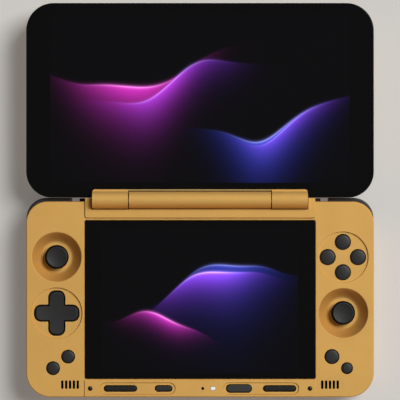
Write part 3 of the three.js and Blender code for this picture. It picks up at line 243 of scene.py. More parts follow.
def rounded(bottom: float, top: float, low: float = 0.0, high: float = 0.0, steps: int = 4) -> Profile:
    """The profile of a slab with round edges.

    Args:
        bottom: its lowest height.
        top: its highest height.
        low: the radius of the lower edge.
        high: the radius of the upper edge.
        steps: how many faces turn each edge.

    Returns:
        Growth and height, upwards.
    """
    made = arc((-low, bottom + low), low, -90, 0, steps) if low else [(0.0, bottom)]
    return made + (arc((-high, top - high), high, 0, 90, steps) if high else [(0.0, top)])


def flared(bottom: float, surface: float, radius: float, steps: int = 2) -> Profile:
    """The profile of a hole's cutter that leaves a round edge where it meets a surface."""
    edge = [(radius - g, z) for g, z in arc((0.0, surface - radius), radius, 0, 90, steps)]
    return [(0.0, bottom), *edge, (radius, surface + CLEAR)]


def sunk(floor: float, surface: float, slope: float) -> Profile:
    """The profile of a shallow recess with a soft sloping edge."""
    shares = ((-1.0, 0.0), (-0.78, 0.1), (-0.5, 0.5), (-0.22, 0.9), (0.0, 1.0))
    return [*((g * slope, floor + share * (surface - floor)) for g, share in shares), (0.0, surface + CLEAR)]


def wider(profile: Profile, gap: float) -> Profile:
    """A profile that grows by a gap at every height."""
    return [(grow + gap, z) for grow, z in profile]


def crown(rim: Pair, middle: float, steps: int) -> Profile:
    """A shallow bowl or dome from just inside its rim to its middle, as radius and height."""
    shares = [1 - i / steps for i in range(1, steps + 1)]
    return [(rim[0] * share, middle + (rim[1] - middle) * share**2) for share in shares]


def shown(name: str, data: bpy.types.ID) -> bpy.types.Object:
    """Adds an object on a mesh, lamp or camera to the scene.

    Args:
        name: its name.
        data: what it shows.

    Returns:
        The object.
    """
    obj = bpy.data.objects.new(name, data)
    bpy.context.scene.collection.objects.link(obj)
    return obj


class Solid:
    """A closed mesh in millimetres that can be joined, cut and placed."""

    def __init__(self, points: Sequence[Triple], faces: Sequence[Sequence[int]]) -> None:
        """Makes the mesh and its working object.

        Args:
            points: its vertices.
            faces: its faces, turning counterclockwise seen from outside.
        """
        mesh = bpy.data.meshes.new("solid")
        mesh.from_pydata([tuple(p) for p in points], [], [tuple(f) for f in faces])
        self.obj = shown("solid", mesh)

    @classmethod
    def loft(cls, outline: Outline, profile: Profile) -> "Solid":
        """An outline raised through a profile, closed at both ends.

        Args:
            outline: the outline, seen from above.
            profile: its growth at each height, upwards.

        Returns:
            The solid.
        """
        rings = [[(x, y, z) for x, y in outline.points(grow)] for grow, z in profile]
        count = len(rings[0])
        faces: list[list[int]] = [list(range(count))[::-1]]
        for low in range(0, count * (len(rings) - 1), count):
            for i in range(count):
                after = (i + 1) % count
                faces.append([low + i, low + after, low + count + after, low + count + i])
        faces.append([count * (len(rings) - 1) + i for i in range(count)])
        return cls([p for ring in rings for p in ring], faces)

    @classmethod
    def prism(cls, outline: Outline, low: float, high: float) -> "Solid":
        """An outline raised with upright walls."""
        return cls.loft(outline, [(0.0, low), (0.0, high)])

    @classmethod
    def block(cls, low: Triple, high: Triple) -> "Solid":
        """A plain block between two corners."""
        outline = Polygon(((low[0], low[1]), (high[0], low[1]), (high[0], high[1]), (low[0], high[1])))
        return cls.prism(outline, low[2], high[2])

    @classmethod
    def turned(cls, profile: Profile, place: Pair = ORIGIN, sides: int = 64) -> "Solid":
        """A profile of radius and height turned about the vertical line through a point."""
        least = 0.004
        return cls.loft(Disc(*place, 0.0, sides), [(max(radius, least), z) for radius, z in profile])

    @classmethod
    def rod(cls, radius: float, low: float, high: float, place: Pair = ORIGIN, sides: int = 32) -> "Solid":
        """An upright round bar about a point."""
        return cls.turned([(radius, low), (radius, high)], place, sides)

    def combine(self, how: Combine, others: Iterable["Solid"]) -> "Solid":
        """Joins, cuts or meets this solid with others, which are used up.

        Args:
            how: what to do.
            others: the solids to do it with, in order.

        Returns:
            This solid.
        """
        used = list(others)
        for other in used:
            step = self.obj.modifiers.new("combine", "BOOLEAN")
            step.operation = how.value
            step.solver = "MANIFOLD"
            step.object = other.obj
        graph = bpy.context.evaluated_depsgraph_get()
        made = bpy.data.meshes.new_from_object(self.obj.evaluated_get(graph))
        self.obj.modifiers.clear()
        old, self.obj.data = self.obj.data, made
        bpy.data.meshes.remove(old)
        for other in used:
            other.drop()
        return self

    def join(self, *others: "Solid") -> "Solid":
        """Adds solids to this one."""
        return self.combine(Combine.JOIN, others)

    def cut(self, *others: "Solid") -> "Solid":
        """Takes solids away from this one."""
        return self.combine(Combine.CUT, others)

    def meet(self, *others: "Solid") -> "Solid":
        """Keeps what this solid shares with others."""
        return self.combine(Combine.MEET, others)

    def shape(self, matrix: Matrix) -> "Solid":
        """Moves, turns or mirrors the mesh itself.

        Args:
            matrix: the change. If it mirrors, the faces are turned to point out again.

        Returns:
            This solid.
        """
        self.obj.data.transform(matrix)
        if matrix.determinant() < 0:
            self.obj.data.flip_normals()
        return self

    def move(self, x: float, y: float, z: float) -> "Solid":
        """Shifts the mesh."""
        return self.shape(Matrix.Translation((x, y, z)))

    def along_x(self) -> "Solid":
        """Turns a solid whose outline was given in Y and Z so that its height runs along X."""
        return self.shape(Matrix(((0, 0, 1, 0), (1, 0, 0, 0), (0, 1, 0, 0), (0, 0, 0, 1))))

    def along_y(self) -> "Solid":
        """Turns a solid whose outline was given in X and Z so that its height runs along -Y."""
        return self.shape(Matrix(((1, 0, 0, 0), (0, 0, -1, 0), (0, 1, 0, 0), (0, 0, 0, 1))))

    def on(self, side: Side) -> "Solid":
        """Leaves a right-hand solid as it is on the right and mirrors it for the left."""
        return self if side is Side.RIGHT else self.shape(Matrix.Scale(-1, 4, (1, 0, 0)))

    def drop(self) -> None:
        """Removes the mesh, and the working object with it."""
        mesh = self.obj.data
        bpy.data.objects.remove(self.obj)
        bpy.data.meshes.remove(mesh)

    def soften(self, width: float, segments: int, angle: float = 38.0) -> "Solid":
        """Rounds the sharp edges.

        Args:
            width: how wide the rounding is.
            segments: how many faces turn each edge.
            angle: the least angle of an edge that is rounded, in degrees.

        Returns:
            This solid.
        """
        step = self.obj.modifiers.new("soften", "BEVEL")
        step.width = width
        step.segments = segments
        step.limit_method = "ANGLE"
        step.angle_limit = math.radians(angle)
        step.use_clamp_overlap = True
        return self.combine(Combine.JOIN, [])

    def piece(self, name: str, body: str, finish: "Finish", slot: str, node: str) -> bpy.types.Object:
        """Turns the solid into a finished piece that rides on a body.

        Args:
            name: the piece's name.
            body: the CAD body that it rides on.
            finish: its finish.
            slot: not used.
            node: the CAD node that it stands for.

        Returns:
            The piece.
        """
        sharp = math.radians(32.0)
        obj, mesh = self.obj, self.obj.data
        obj.name = mesh.name = name
        mesh.transform(Matrix.Scale(MM, 4))
        mesh.polygons.foreach_set("use_smooth", [True] * len(mesh.polygons))
        mesh.set_sharp_from_angle(angle=sharp)
        even = obj.modifiers.new("even normals", "WEIGHTED_NORMAL")
        even.keep_sharp = True
        mesh.materials.clear()
        mesh.materials.append(finish.material())
        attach(obj, body)
        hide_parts(node)
        log.info("%s rides on %s with %d faces", name, body, len(mesh.polygons))
        return obj


def repaint(obj: bpy.types.Object, finish: "Finish", chosen: Callable[[Vector, Vector], bool]) -> None:
    """Gives some faces of a piece a second finish.

    Args:
        obj: the piece.
        finish: the second finish.
        chosen: tells from a face's middle, in millimetres, and its normal whether it takes that finish.
    """
    obj.data.materials.append(finish.material())
    for face in obj.data.polygons:
        if chosen(face.center / MM, face.normal):
            face.material_index = 1


# Shading

Value = Union["Field", float]


def maths(operation: str, reflected: bool = False) -> Callable[..., "Field"]:
    """Makes an operator for the values of a shader.

    Args:
        operation: what its Math node does.
        reflected: whether the other value comes first.

    Returns:
        The operator.
    """

    def operator(self: "Field", *others: Value) -> "Field":
        """Adds the Math node."""
        values = (*others, self) if reflected else (self, *others)
        return self.tree.node("ShaderNodeMath", {"operation": operation}, dict(enumerate(values)))

    return operator


class Field:
    """A shader value that varies over a surface, with arithmetic that adds its nodes."""

    __add__ = __radd__ = maths("ADD")
    __sub__ = maths("SUBTRACT")
    __rsub__ = maths("SUBTRACT", reflected=True)
    __mul__ = __rmul__ = maths("MULTIPLY")
    __truediv__ = maths("DIVIDE")
    __rtruediv__ = maths("DIVIDE", reflected=True)
    __gt__ = maths("GREATER_THAN")
    __lt__ = maths("LESS_THAN")
    __abs__ = maths("ABSOLUTE")
    sine = maths("SINE")
    exp = maths("EXPONENT")

    def __init__(self, tree: "Tree", socket: bpy.types.NodeSocket) -> None:
        """Wraps an output socket of a tree."""
        self.tree = tree
        self.socket = socket

    def step(self, low: float, high: float) -> "Field":
        """Runs smoothly from 0 at low to 1 at high."""
        inputs = {"Value": self, "From Min": low, "From Max": high}
        return self.tree.node("ShaderNodeMapRange", {"interpolation_type": "SMOOTHSTEP"}, inputs)


Input = Union[Field, float, Triple, Colour]


class Tree:
    """A node tree, with one method that adds any node to it."""

    def __init__(self, tree: bpy.types.NodeTree) -> None:
        """Wraps the tree."""
        self.tree = tree

    def node(
        self,
        kind: str,
        settings: Optional[dict[str, object]] = None,
        inputs: Optional[dict[Union[str, int], Input]] = None,
        output: Union[str, int] = 0,
    ) -> Field:
        """Adds a node.

        Args:
            kind: its type.
            settings: what is set first, such as an operation, or the stops of a ramp.
            inputs: values or links, by name, identifier or place of the socket.
            output: which output to give back.

        Returns:
            The chosen output.
        """
        added = self.tree.nodes.new(kind)
        for key, value in (settings or {}).items():
            if key == "stops":
                self._set_stops(added, value)
            else:
                setattr(added, key, value)
        for key, value in (inputs or {}).items():
            socket = self._socket(added.inputs, key)
            if isinstance(value, Field):
                self.tree.links.new(value.socket, socket)
            else:
                socket.default_value = value
        return Field(self, self._socket(added.outputs, output))

    @staticmethod
    def _socket(sockets: Sequence[bpy.types.NodeSocket], key: Union[str, int]) -> bpy.types.NodeSocket:
        """Finds a socket by place, identifier or name."""
        found = None if isinstance(key, int) else next((s for s in sockets if s.identifier == key), None)
        return found or sockets[key]

    @staticmethod
    def _set_stops(added: bpy.types.Node, stops: Sequence[tuple[float, Triple]]) -> None:
        """Sets the two stops of a colour ramp."""
        for element, (place, colour) in zip(added.color_ramp.elements, stops):
            element.position, element.color = place, (*colour, 1.0)

    def scale(self, vector: Input, amount: Value) -> Field:
        """A vector or colour times a value."""
        inputs = {"Vector": vector, "Scale": amount}
        return self.node("ShaderNodeVectorMath", {"operation": "SCALE"}, inputs)

    def vector(self, operation: str, first: Input, second: Input, output: Union[str, int] = 0) -> Field:
        """Vector Math on two vectors or colours."""
        return self.node("ShaderNodeVectorMath", {"operation": operation}, {0: first, 1: second}, output)

    def axes(self, place: Field) -> tuple[Field, Field, Field]:
        """The X, Y and Z of a point."""
        added = self.node("ShaderNodeSeparateXYZ", None, {0: place}).socket.node
        return tuple(Field(self, out) for out in added.outputs)

    def place(self) -> Field:
        """The surface point in the piece's own frame, in millimetres."""
        return self.scale(self.node("ShaderNodeTexCoord", output="Object"), 1 / MM)

    def noise(self, place: Field, size: float, detail: float = 2.0, roughness: float = 0.5) -> Field:
        """Noise from 0 to 1 whose patches measure about the given size in millimetres."""
        inputs = {"Vector": place, "Scale": 1 / size, "Detail": detail, "Roughness": roughness}
        return self.node("ShaderNodeTexNoise", {"noise_dimensions": "3D"}, inputs)

    def mix(self, factor: Field, first: Input, second: Input) -> Field:
        """A colour from the first to the second as the factor goes from 0 to 1."""
        inputs = {"Factor_Float": factor, "A_Color": first, "B_Color": second}
        return self.node("ShaderNodeMix", {"data_type": "RGBA"}, inputs, "Result_Color")


class Paint(Tree):
    """A material's node tree, with its Principled shader ready."""

    def __init__(self, name: str, uniform: dict[str, Input]) -> None:
        """Starts a material.

        Args:
            name: its name.
            uniform: numbers and colours that are the same all over, by socket of the shader.
        """
        self.made = bpy.data.materials.new(name)
        self.made.use_nodes = True
        super().__init__(self.made.node_tree)
        self.tree.nodes.clear()
        output = self.tree.nodes.new("ShaderNodeOutputMaterial")
        self.shader = self.tree.nodes.new("ShaderNodeBsdfPrincipled")
        self.tree.links.new(self.shader.outputs[0], output.inputs["Surface"])
        for socket, value in uniform.items():
            self.shader.inputs[socket].default_value = value

    def feed(self, socket: str, value: Field) -> None:
        """Links a varying value to the shader."""
        self.tree.links.new(value.socket, self.shader.inputs[socket])

    def relief(self, height: Field, depth: float) -> None:
        """Raises and sinks the surface by a height from 0 to 1 over a depth in millimetres."""
        inputs = {"Strength": 1.0, "Distance": depth * MM, "Height": height}
        self.feed("Normal", self.node("ShaderNodeBump", None, inputs))


def linear(value: float) -> float:
    """One channel of a screen's colour, from 0 to 255, in the renderer's linear terms."""
    share = value / 255
    return share / 12.92 if share <= 0.04045 else ((share + 0.055) / 1.055) ** 2.4


def srgb(red: float, green: float, blue: float) -> Colour:
    """A colour given from 0 to 255 as a screen shows it, in the renderer's linear terms."""
    return (linear(red), linear(green), linear(blue), 1.0)


def scaled(colour: Sequence[float], factor: float) -> Colour:
    """A colour made lighter or darker."""
    return (colour[0] * factor, colour[1] * factor, colour[2] * factor, 1.0)


@dataclass(frozen=True)
class Finish:
    """A named finish that makes its material once."""

    name: str

    def material(self) -> bpy.types.Material:
        """The finish's material, made on first use."""
        return bpy.data.materials.get(self.name) or self.build()

    def build(self) -> bpy.types.Material:
        """Makes the material."""
        raise NotImplementedError


@dataclass(frozen=True)
class Moulded(Finish):
    """Moulded or painted plastic, rubber or bare metal: fine grain, faint patches, handling marks and, where
    a slope tint is given, painted shade on sloped faces.
    """

    colour: Colour
    roughness: float
    metallic: float = 0.0
    specular: float = 0.5
    grain: float = 0.1
    depth: float = 0.01
    patch: float = 6.0
    patch_share: float = 0.08
    mark_share: float = 0.12
    # Painted shade: the tint that sloped faces take, and the direction they must face to take it
    slope_shade_tint: Optional[Triple] = None
    slope_shade_towards: Optional[Triple] = None

    def paint_slope_shade(self, paint: Paint, tone: Field) -> Field:
        """Paints shade onto sloped faces: a darker, warmer tint of the colour that stands in for the shade
        there, only on faces turned one way if a direction is given.

        Args:
            paint: the material.
            tone: the colour on level and upright faces.

        Returns:
            The colour with painted shade on its slopes.
        """
        if self.slope_shade_tint is None:
            return tone
        facing = paint.node("ShaderNodeTexCoord", output="Normal")
        level = abs(paint.axes(facing)[2])
        slope = level.step(0.1, 0.35) * (1 - level.step(0.78, 0.98))
        if self.slope_shade_towards is not None:
            lean = paint.vector("DOT_PRODUCT", facing, self.slope_shade_towards, "Value")
            slope = slope * lean.step(0.1, 0.6)
        tint = paint.mix(slope, (1.0, 1.0, 1.0, 1.0), (*self.slope_shade_tint, 1.0))
        return paint.vector("MULTIPLY", tone, tint)

    def build(self) -> bpy.types.Material:
        """Makes the material.

        Returns:
            The material.
        """
        paint = Paint(self.name, {"Specular IOR Level": self.specular, "Metallic": self.metallic})
        place = paint.place()
        speck_size, mark_size = 4 * self.grain, 0.55 * self.patch
        patches = paint.noise(place, self.patch, detail=3.0)
        fine = paint.noise(place, self.grain, detail=1.0)
        speck = paint.noise(place, speck_size, detail=4.0, roughness=0.6)
        low = scaled(self.colour, 1 - self.patch_share)
        high = scaled(self.colour, 1 + self.patch_share)
        tone = paint.mix((patches * 0.7 + speck * 0.3).step(0.3, 0.7), low, high)
        paint.feed("Base Color", self.paint_slope_shade(paint, tone))
        marks = paint.noise(place, mark_size, detail=5.0, roughness=0.65).step(0.35, 0.75)
        paint.feed("Roughness", marks * (self.mark_share * self.roughness) + self.roughness)
        paint.relief(fine * 0.6 + speck * 0.4, self.depth)
        return paint.made


@dataclass(frozen=True)
class Brushed(Finish):
    """Drawn or brushed metal with fine lines along one axis."""

    colour: Colour
    roughness: float
    stretch: Triple = (0.08, 1.0, 1.0)
    line_size: float = 0.18
    stain_size: float = 6.0
    depth: float = 0.01

    def build(self) -> bpy.types.Material:
        """Makes the material.

        Returns:
            The material.
        """
        paint = Paint(self.name, {"Metallic": 1.0})
        place = paint.place()
        stretched = paint.vector("MULTIPLY", place, self.stretch)
        lines = paint.noise(stretched, self.line_size, detail=3.0, roughness=0.7)
        stain = paint.noise(place, self.stain_size, detail=3.0)
        dark, bright = scaled(self.colour, 0.78), scaled(self.colour, 1.1)
        paint.feed("Base Color", paint.mix(lines * 0.6 + stain * 0.4, dark, bright))
        paint.feed("Roughness", lines * 0.15 + stain * 0.1 + (self.roughness - 0.1))
        paint.relief(lines, self.depth)
        return paint.made


@dataclass(frozen=True)
class CircuitBoard(Finish):
    """A solder-masked board with faint tracks and pads."""

    mask: Colour = (0.01, 0.07, 0.03, 1.0)
    track: Colour = (0.03, 0.15, 0.07, 1.0)
    drift_size: float = 5.0
    weave_size: float = 0.8
    depth: float = 0.03

    def build(self) -> bpy.types.Material:
        """Makes the material.

        Returns:
            The material.
        """
        paint = Paint(self.name, {"Coat Weight": 0.2})
        place = paint.place()
        x, y, _ = paint.axes(place)
        drift = paint.noise(place, self.drift_size, detail=1.0)
        tracks = ((x * 2.1 + drift * 9.0).sine() * (y * 1.7 - drift * 7.0).sine()).step(0.35, 0.5)
        paint.feed("Base Color", paint.mix(tracks, self.mask, self.track))
        paint.feed("Roughness", paint.noise(place, self.weave_size) * 0.15 + 0.38)
        paint.relief(tracks, self.depth)
        return paint.made


@dataclass(frozen=True)
class Ribbon:
    """One band of light in a display's picture: a wave with a crisp upper edge and a long soft tail below.

    The wave is its level, swing, length and phase. The ripple on it is its turns, phase and swing as shares
    of the wave's, and the bend is the drift's share of the swing. The window is the middle and the spread of
    the lit stretch. The core is how fast the bright line fades, and it is pale: a share of the colour plus
    some white.
    """

    colour: Triple
    wave: tuple[float, float, float, float]
    window: Pair
    tail: float
    slant: float
    gain: float = 1.0
    crisp: float = 0.35
    ripple: Triple = (2.3, 2.1, 0.22)
    bend: float = 0.5
    core: float = 2.6
    pale: Pair = (0.5, 0.22)

    def light(self, paint: Paint, x: Field, y: Field, drift: Field) -> Field:
        """Builds the ribbon's light.

        Args:
            paint: the material.
            x: millimetres right of the display's middle.
            y: millimetres above it.
            drift: slow noise that bends the wave.

        Returns:
            The ribbon's colour.
        """
        level, swing, length, phase = self.wave
        middle, spread = self.window
        turns = math.tau / length
        wave = (x * turns + phase).sine() * swing
        faster, ahead, share = self.ripple
        ripple = (x * (turns * faster) + ahead * phase).sine() * (share * swing)
        line = wave + ripple + x * self.slant + (drift - 0.5) * (self.bend * swing) + level
        over = y - line
        above = over > 0.0
        fall = above * (1 / self.crisp) + (1 - above) * (1 / self.tail)
        glow = (abs(over) * fall * -1.0).exp()
        core = (abs(over) * -self.core).exp()
        reach = (x - middle) / spread
        window = (reach * reach * -1.0).exp()
        own, white = self.pale
        pale = tuple(own * channel + white for channel in self.colour)
        colour = paint.scale(self.colour, glow * window * self.gain)
        return paint.vector("ADD", colour, paint.scale(pale, core * window * window * self.gain))


@dataclass(frozen=True)
class Display(Finish):
    """Cover glass over a lit panel that shows drifting ribbons of light on near-black."""

    middle: Pair
    half: Pair
    ribbons: tuple[Ribbon, ...]
    dark: Colour = srgb(15, 15, 15)
    backlight: Triple = (0.0004, 0.0003, 0.001)
    edge: float = 0.15
    drift_size: float = 38.0
    smear_size: float = 22.0

    def build(self) -> bpy.types.Material:
        """Makes the material.

        Returns:
            The material.
        """
        paint = Paint(self.name, {"Emission Strength": 1.0, "Base Color": self.dark, "IOR": 1.38})
        place = paint.place()
        across, along, _ = paint.axes(place)
        x, y = across - self.middle[0], along - self.middle[1]
        edge = self.edge
        inside = (self.half[0] - abs(x)).step(-edge, edge) * (self.half[1] - abs(y)).step(-edge, edge)
        drift = paint.noise(place, self.drift_size, detail=1.0)
        light = paint.scale(self.backlight, inside)
        for ribbon in self.ribbons:
            light = paint.vector("ADD", light, paint.scale(ribbon.light(paint, x, y, drift), inside))
        paint.feed("Emission Color", light)
        smears = paint.noise(place, self.smear_size, detail=4.0, roughness=0.6).step(0.35, 0.8)
        paint.feed("Roughness", smears * 0.05 + 0.05)
        return paint.made


@dataclass(frozen=True)
class Glow(Finish):
    """A milky light guide that is lit from below."""

    colour: Colour
    power: float
    milk_size: float = 0.6

    def build(self) -> bpy.types.Material:
        """Makes the material.

        Returns:
            The material.
        """
        paint = Paint(self.name, {"Emission Strength": self.power, "Base Color": self.colour})
        milk = paint.noise(paint.place(), self.milk_size)
        paint.feed("Emission Color", paint.mix(milk, scaled(self.colour, 0.9), self.colour))
        paint.feed("Roughness", milk * 0.1 + 0.3)
        return paint.made


# Gold paint for the shells; its slope tint is painted shade, a darker, warmer gold on well walls and other
# slopes
GOLD = Moulded(
    "gold paint", srgb(221, 178, 101), 0.7, 0.5, 0.2,
    grain=0.09, depth=0.006, patch=26.0, patch_share=0.03, slope_shade_tint=(0.81, 0.67, 0.56),
)
# A shaded copy of the gold paint: slightly darker for the shade near the barrel, with painted shade on faces
# turned to -Y, the barrel's lower side
HINGE_SHADED_GOLD = replace(
    GOLD, name="shaded hinge gold", colour=srgb(218, 175, 99),
    slope_shade_tint=(1.0, 0.84, 0.7), slope_shade_towards=(0.0, -1.0, 0.0),
)
# Painted shade: a darker, greyer gold for the top of the thin strip between the knuckles
WEB_SHADED_GOLD = replace(GOLD, name="shaded web gold", colour=srgb(178, 154, 104), metallic=0.4, slope_shade_tint=None)
BLACK = Moulded(
    "black plastic", srgb(39, 40, 41), 0.45, specular=0.35, depth=0.008, patch=9.0, patch_share=0.09
)
SIDE_BLACK = Moulded(
    "side black", srgb(34, 35, 36), 0.4, specular=0.45, grain=0.12, depth=0.008, patch=12.0, patch_share=0.07
)
KEY_GREY = Moulded("key grey", srgb(54, 56, 54), 0.5, specular=0.25, depth=0.006, patch=7.0, patch_share=0.05)
RUBBER = Moulded("black rubber", srgb(27, 27, 27), 0.6, specular=0.25, grain=0.16, depth=0.02)
NUB = Moulded("nub rubber", srgb(13, 13, 13), 0.2, grain=0.16)
STICK_RUBBER = Moulded("stick rubber", srgb(38, 39, 40), 0.5, specular=0.3, grain=0.2, depth=0.02, patch=5.0)
# Near-black that paints shade: on the deck's unpainted inside and hole walls, below the stick caps, and on
# inner pieces seen only in shade
BARE_SHADE_BLACK = Moulded("bare inside and painted shade", srgb(9, 9, 9), 0.85, specular=0.1, grain=0.3, depth=0.02, patch_share=0.2)
CELL = Moulded("battery wrap", srgb(58, 61, 66), 0.55, 0.1, 0.4, grain=0.4, depth=0.02, patch=18.0)
MODULE = Moulded("display module", srgb(70, 72, 76), 0.4, 0.6, grain=0.3, patch=20.0, patch_share=0.06)
STEEL = Brushed("steel", srgb(170, 172, 176), 0.34)
ALLOY = Brushed("alloy", srgb(135, 138, 142), 0.48, (0.2, 1.0, 1.0))
COPPER = Brushed("copper", srgb(196, 126, 82), 0.32)
BOARD = CircuitBoard("circuit board")
LAMP = Glow("lamp", (1.0, 0.95, 0.84, 1.0), 6.0)

MAGENTA: Triple = (0.62, 0.03, 0.5)
VIOLET: Triple = (0.2, 0.035, 0.6)
BLUE: Triple = (0.035, 0.05, 0.5)

UPPER_GLASS = Display(
    "upper display",
    middle=(0.0, 52.5),
    half=(77.5, 43.6),
    ribbons=(
        Ribbon(MAGENTA, (17.0, 8.0, 120.0, 0.2), (-34.0, 22.0), tail=8.0, slant=0.12, gain=1.3, crisp=0.5),
        Ribbon(VIOLET, (10.0, 9.0, 104.0, 0.9), (-16.0, 22.0), tail=6.0, slant=0.12, crisp=0.45),
        Ribbon(BLUE, (-18.0, 8.0, 96.0, 2.9), (36.0, 19.0), tail=10.0, slant=0.16, gain=1.3),
        Ribbon(VIOLET, (-21.0, 8.0, 90.0, 2.7), (46.0, 17.0), tail=4.0, slant=0.2, gain=0.9),
    ),
)
LOWER_GLASS = Display(
    "lower display",
    middle=(0.0, -51.6),
    half=(50.8, 38.1),
    ribbons=(
        Ribbon(BLUE, (9.0, 7.0, 84.0, 0.9), (14.0, 19.0), tail=11.0, slant=0.22),
        Ribbon(VIOLET, (6.0, 7.0, 88.0, 1.2), (6.0, 17.0), tail=5.0, slant=0.24, gain=2.2),
        Ribbon(MAGENTA, (-16.0, 5.0, 70.0, 3.6), (-19.0, 12.0), tail=3.0, slant=-0.16, gain=1.3),
    ),
)


# Sub-assemblies


@dataclass(frozen=True)
class Console:
    """Sizes that the sub-assemblies share.

    Cutters inside the base start at cut_from, and what is added to the deck overlaps its wall at within.
    """

    half: float = 90.0
    middle: float = 59.7
    front: float = -102.0
    rear: float = -0.75
    front_corner: float = 12.7
    rear_corner: float = 10.9
    deck: float = 20.0
    deck_edge: float = 0.6
    cut_from: float = 15.0
    within: float = 17.7
    axis: float = 20.6
    control_x: float = 74.2
    strip_line: float = -97.6
    strip_rear: float = -93.4

    def outline(self) -> Slab:
        """The base's outline, seen from above."""
        radii = (self.front_corner, self.rear_corner, self.rear_corner, self.front_corner)
        return Slab(-self.half, self.half, self.front, self.rear, radii, 14)


CONSOLE = Console()


@dataclass
class Sticks:
    """The two thumbsticks and their wells."""

    places: dict[Side, Pair] = field(
        default_factory=lambda: {
            Side.LEFT: (-CONSOLE.control_x, -29.5),
            Side.RIGHT: (CONSOLE.control_x, -58.5),
        }
    )
    rim_radius: float = 12.85
    floor_radius: float = 7.4
    depth: float = 5.0
    steepening: float = 1.5
    lip: float = 0.6
    bowl_steps: int = 16
    bowl_wall: float = 0.6
    bowl_rim: float = 0.4
    hole_radius: float = 5.0
    hole_edge: float = 0.25
    hole_depth: float = 2.0
    pivot: float = 9.0
    pin_radius: float = 0.7
    pin_half: float = 3.5
    stem: tuple[Pair, ...] = ((1.6, -1.3), (1.6, 4.2), (3.2, 4.9))
    neck: tuple[Pair, ...] = ((3.0, 16.4), (3.05, 17.2), (3.5, 17.9), (4.6, 18.3), (5.6, 18.42))
    neck_top: float = 18.3
    dome_radius: float = 5.5
    dome_wall: float = 0.7
    cap_radius: float = 6.2
    cap_edge: float = 0.2
    cap_side: float = 18.63
    cap_top: float = 19.5
    rim_crest: float = 5.05
    rim_round: float = 0.5
    rim_reach: float = 0.3
    dish: float = 0.6

    def well(self, place: Pair) -> tuple[Solid, Solid]:
        """Makes one well.

        Args:
            place: the middle of the well.

        Returns:
            What is added under the deck, and what is then cut away.
        """
        floor = CONSOLE.deck - self.depth
        spread = self.rim_radius - self.floor_radius
        under = (self.floor_radius + self.bowl_wall, floor - self.bowl_wall)
        bowl = Solid.turned([under, (self.rim_radius + self.bowl_rim, CONSOLE.within)], place)
        slope = math.atan2(self.steepening * self.depth, spread)
        end = self.rim_radius + self.lip * math.tan(slope / 2)
        hole, edge = self.hole_radius, self.hole_edge
        wall: Profile = [(hole, floor - self.hole_depth), (hole, floor - edge), (hole + edge, floor)]
        for i in range(self.bowl_steps):
            share = i / self.bowl_steps
            radius = self.floor_radius + share * spread
            if radius < end - self.lip * math.sin(slope):
                wall.append((radius, floor + self.depth * share**self.steepening))
        wall += arc((end, CONSOLE.deck - self.lip), self.lip, 90 + math.degrees(slope), 90, 5)
        return bowl, Solid.turned([*wall, (end, CONSOLE.deck + CLEAR)], place, 96)

    def stick(self) -> Solid:
        """Makes one stick about the origin: pin, dome, neck and dished cap in one moulding.

        Returns:
            The stick.
        """
        edge, crest, half, outer = self.cap_edge, self.rim_round, self.pin_half, self.dome_radius
        profile = [(radius, self.pivot + z) for radius, z in self.stem]
        profile += [*self.neck, *arc((self.cap_radius - edge, self.cap_side), edge, -90, 35, 4)]
        profile += arc((self.rim_crest, self.cap_top - crest), crest, 50, 120, 8)
        profile += crown(profile[-1], self.cap_top - self.dish, 8)
        middle = (0.0, self.pivot)
        dome = arc(middle, outer - self.dome_wall, 84, 40, 8) + arc(middle, outer, 40, 84, 8)
        pin = Solid.rod(self.pin_radius, -half, half, sides=20).along_y().move(0, 0, self.pivot)
        return Solid.turned(profile, sides=72).join(Solid.turned(dome, sides=48), pin)

    def in_shade(self, place: Pair, centre: Vector) -> bool:
        """Whether a face lies on the dome, beyond the cap's rim, or below the cap."""
        reach = math.hypot(centre.x - place[0], centre.y - place[1])
        return reach > self.rim_crest + self.rim_reach or centre.z < self.neck_top

    def build(self) -> None:
        """Makes both sticks, with near-black painted shade below their caps and beyond their rims."""
        for side, place in self.places.items():
            name, node = f"stick_{side.word}", f"thumbstick_{side.word}"
            stick = self.stick().move(*place, 0).piece(name, name, STICK_RUBBER, "black_plastic", node)
            # Faces below the cap and beyond its rim take near-black painted shade
            repaint(stick, BARE_SHADE_BLACK, lambda centre, _, place=place: self.in_shade(place, centre))


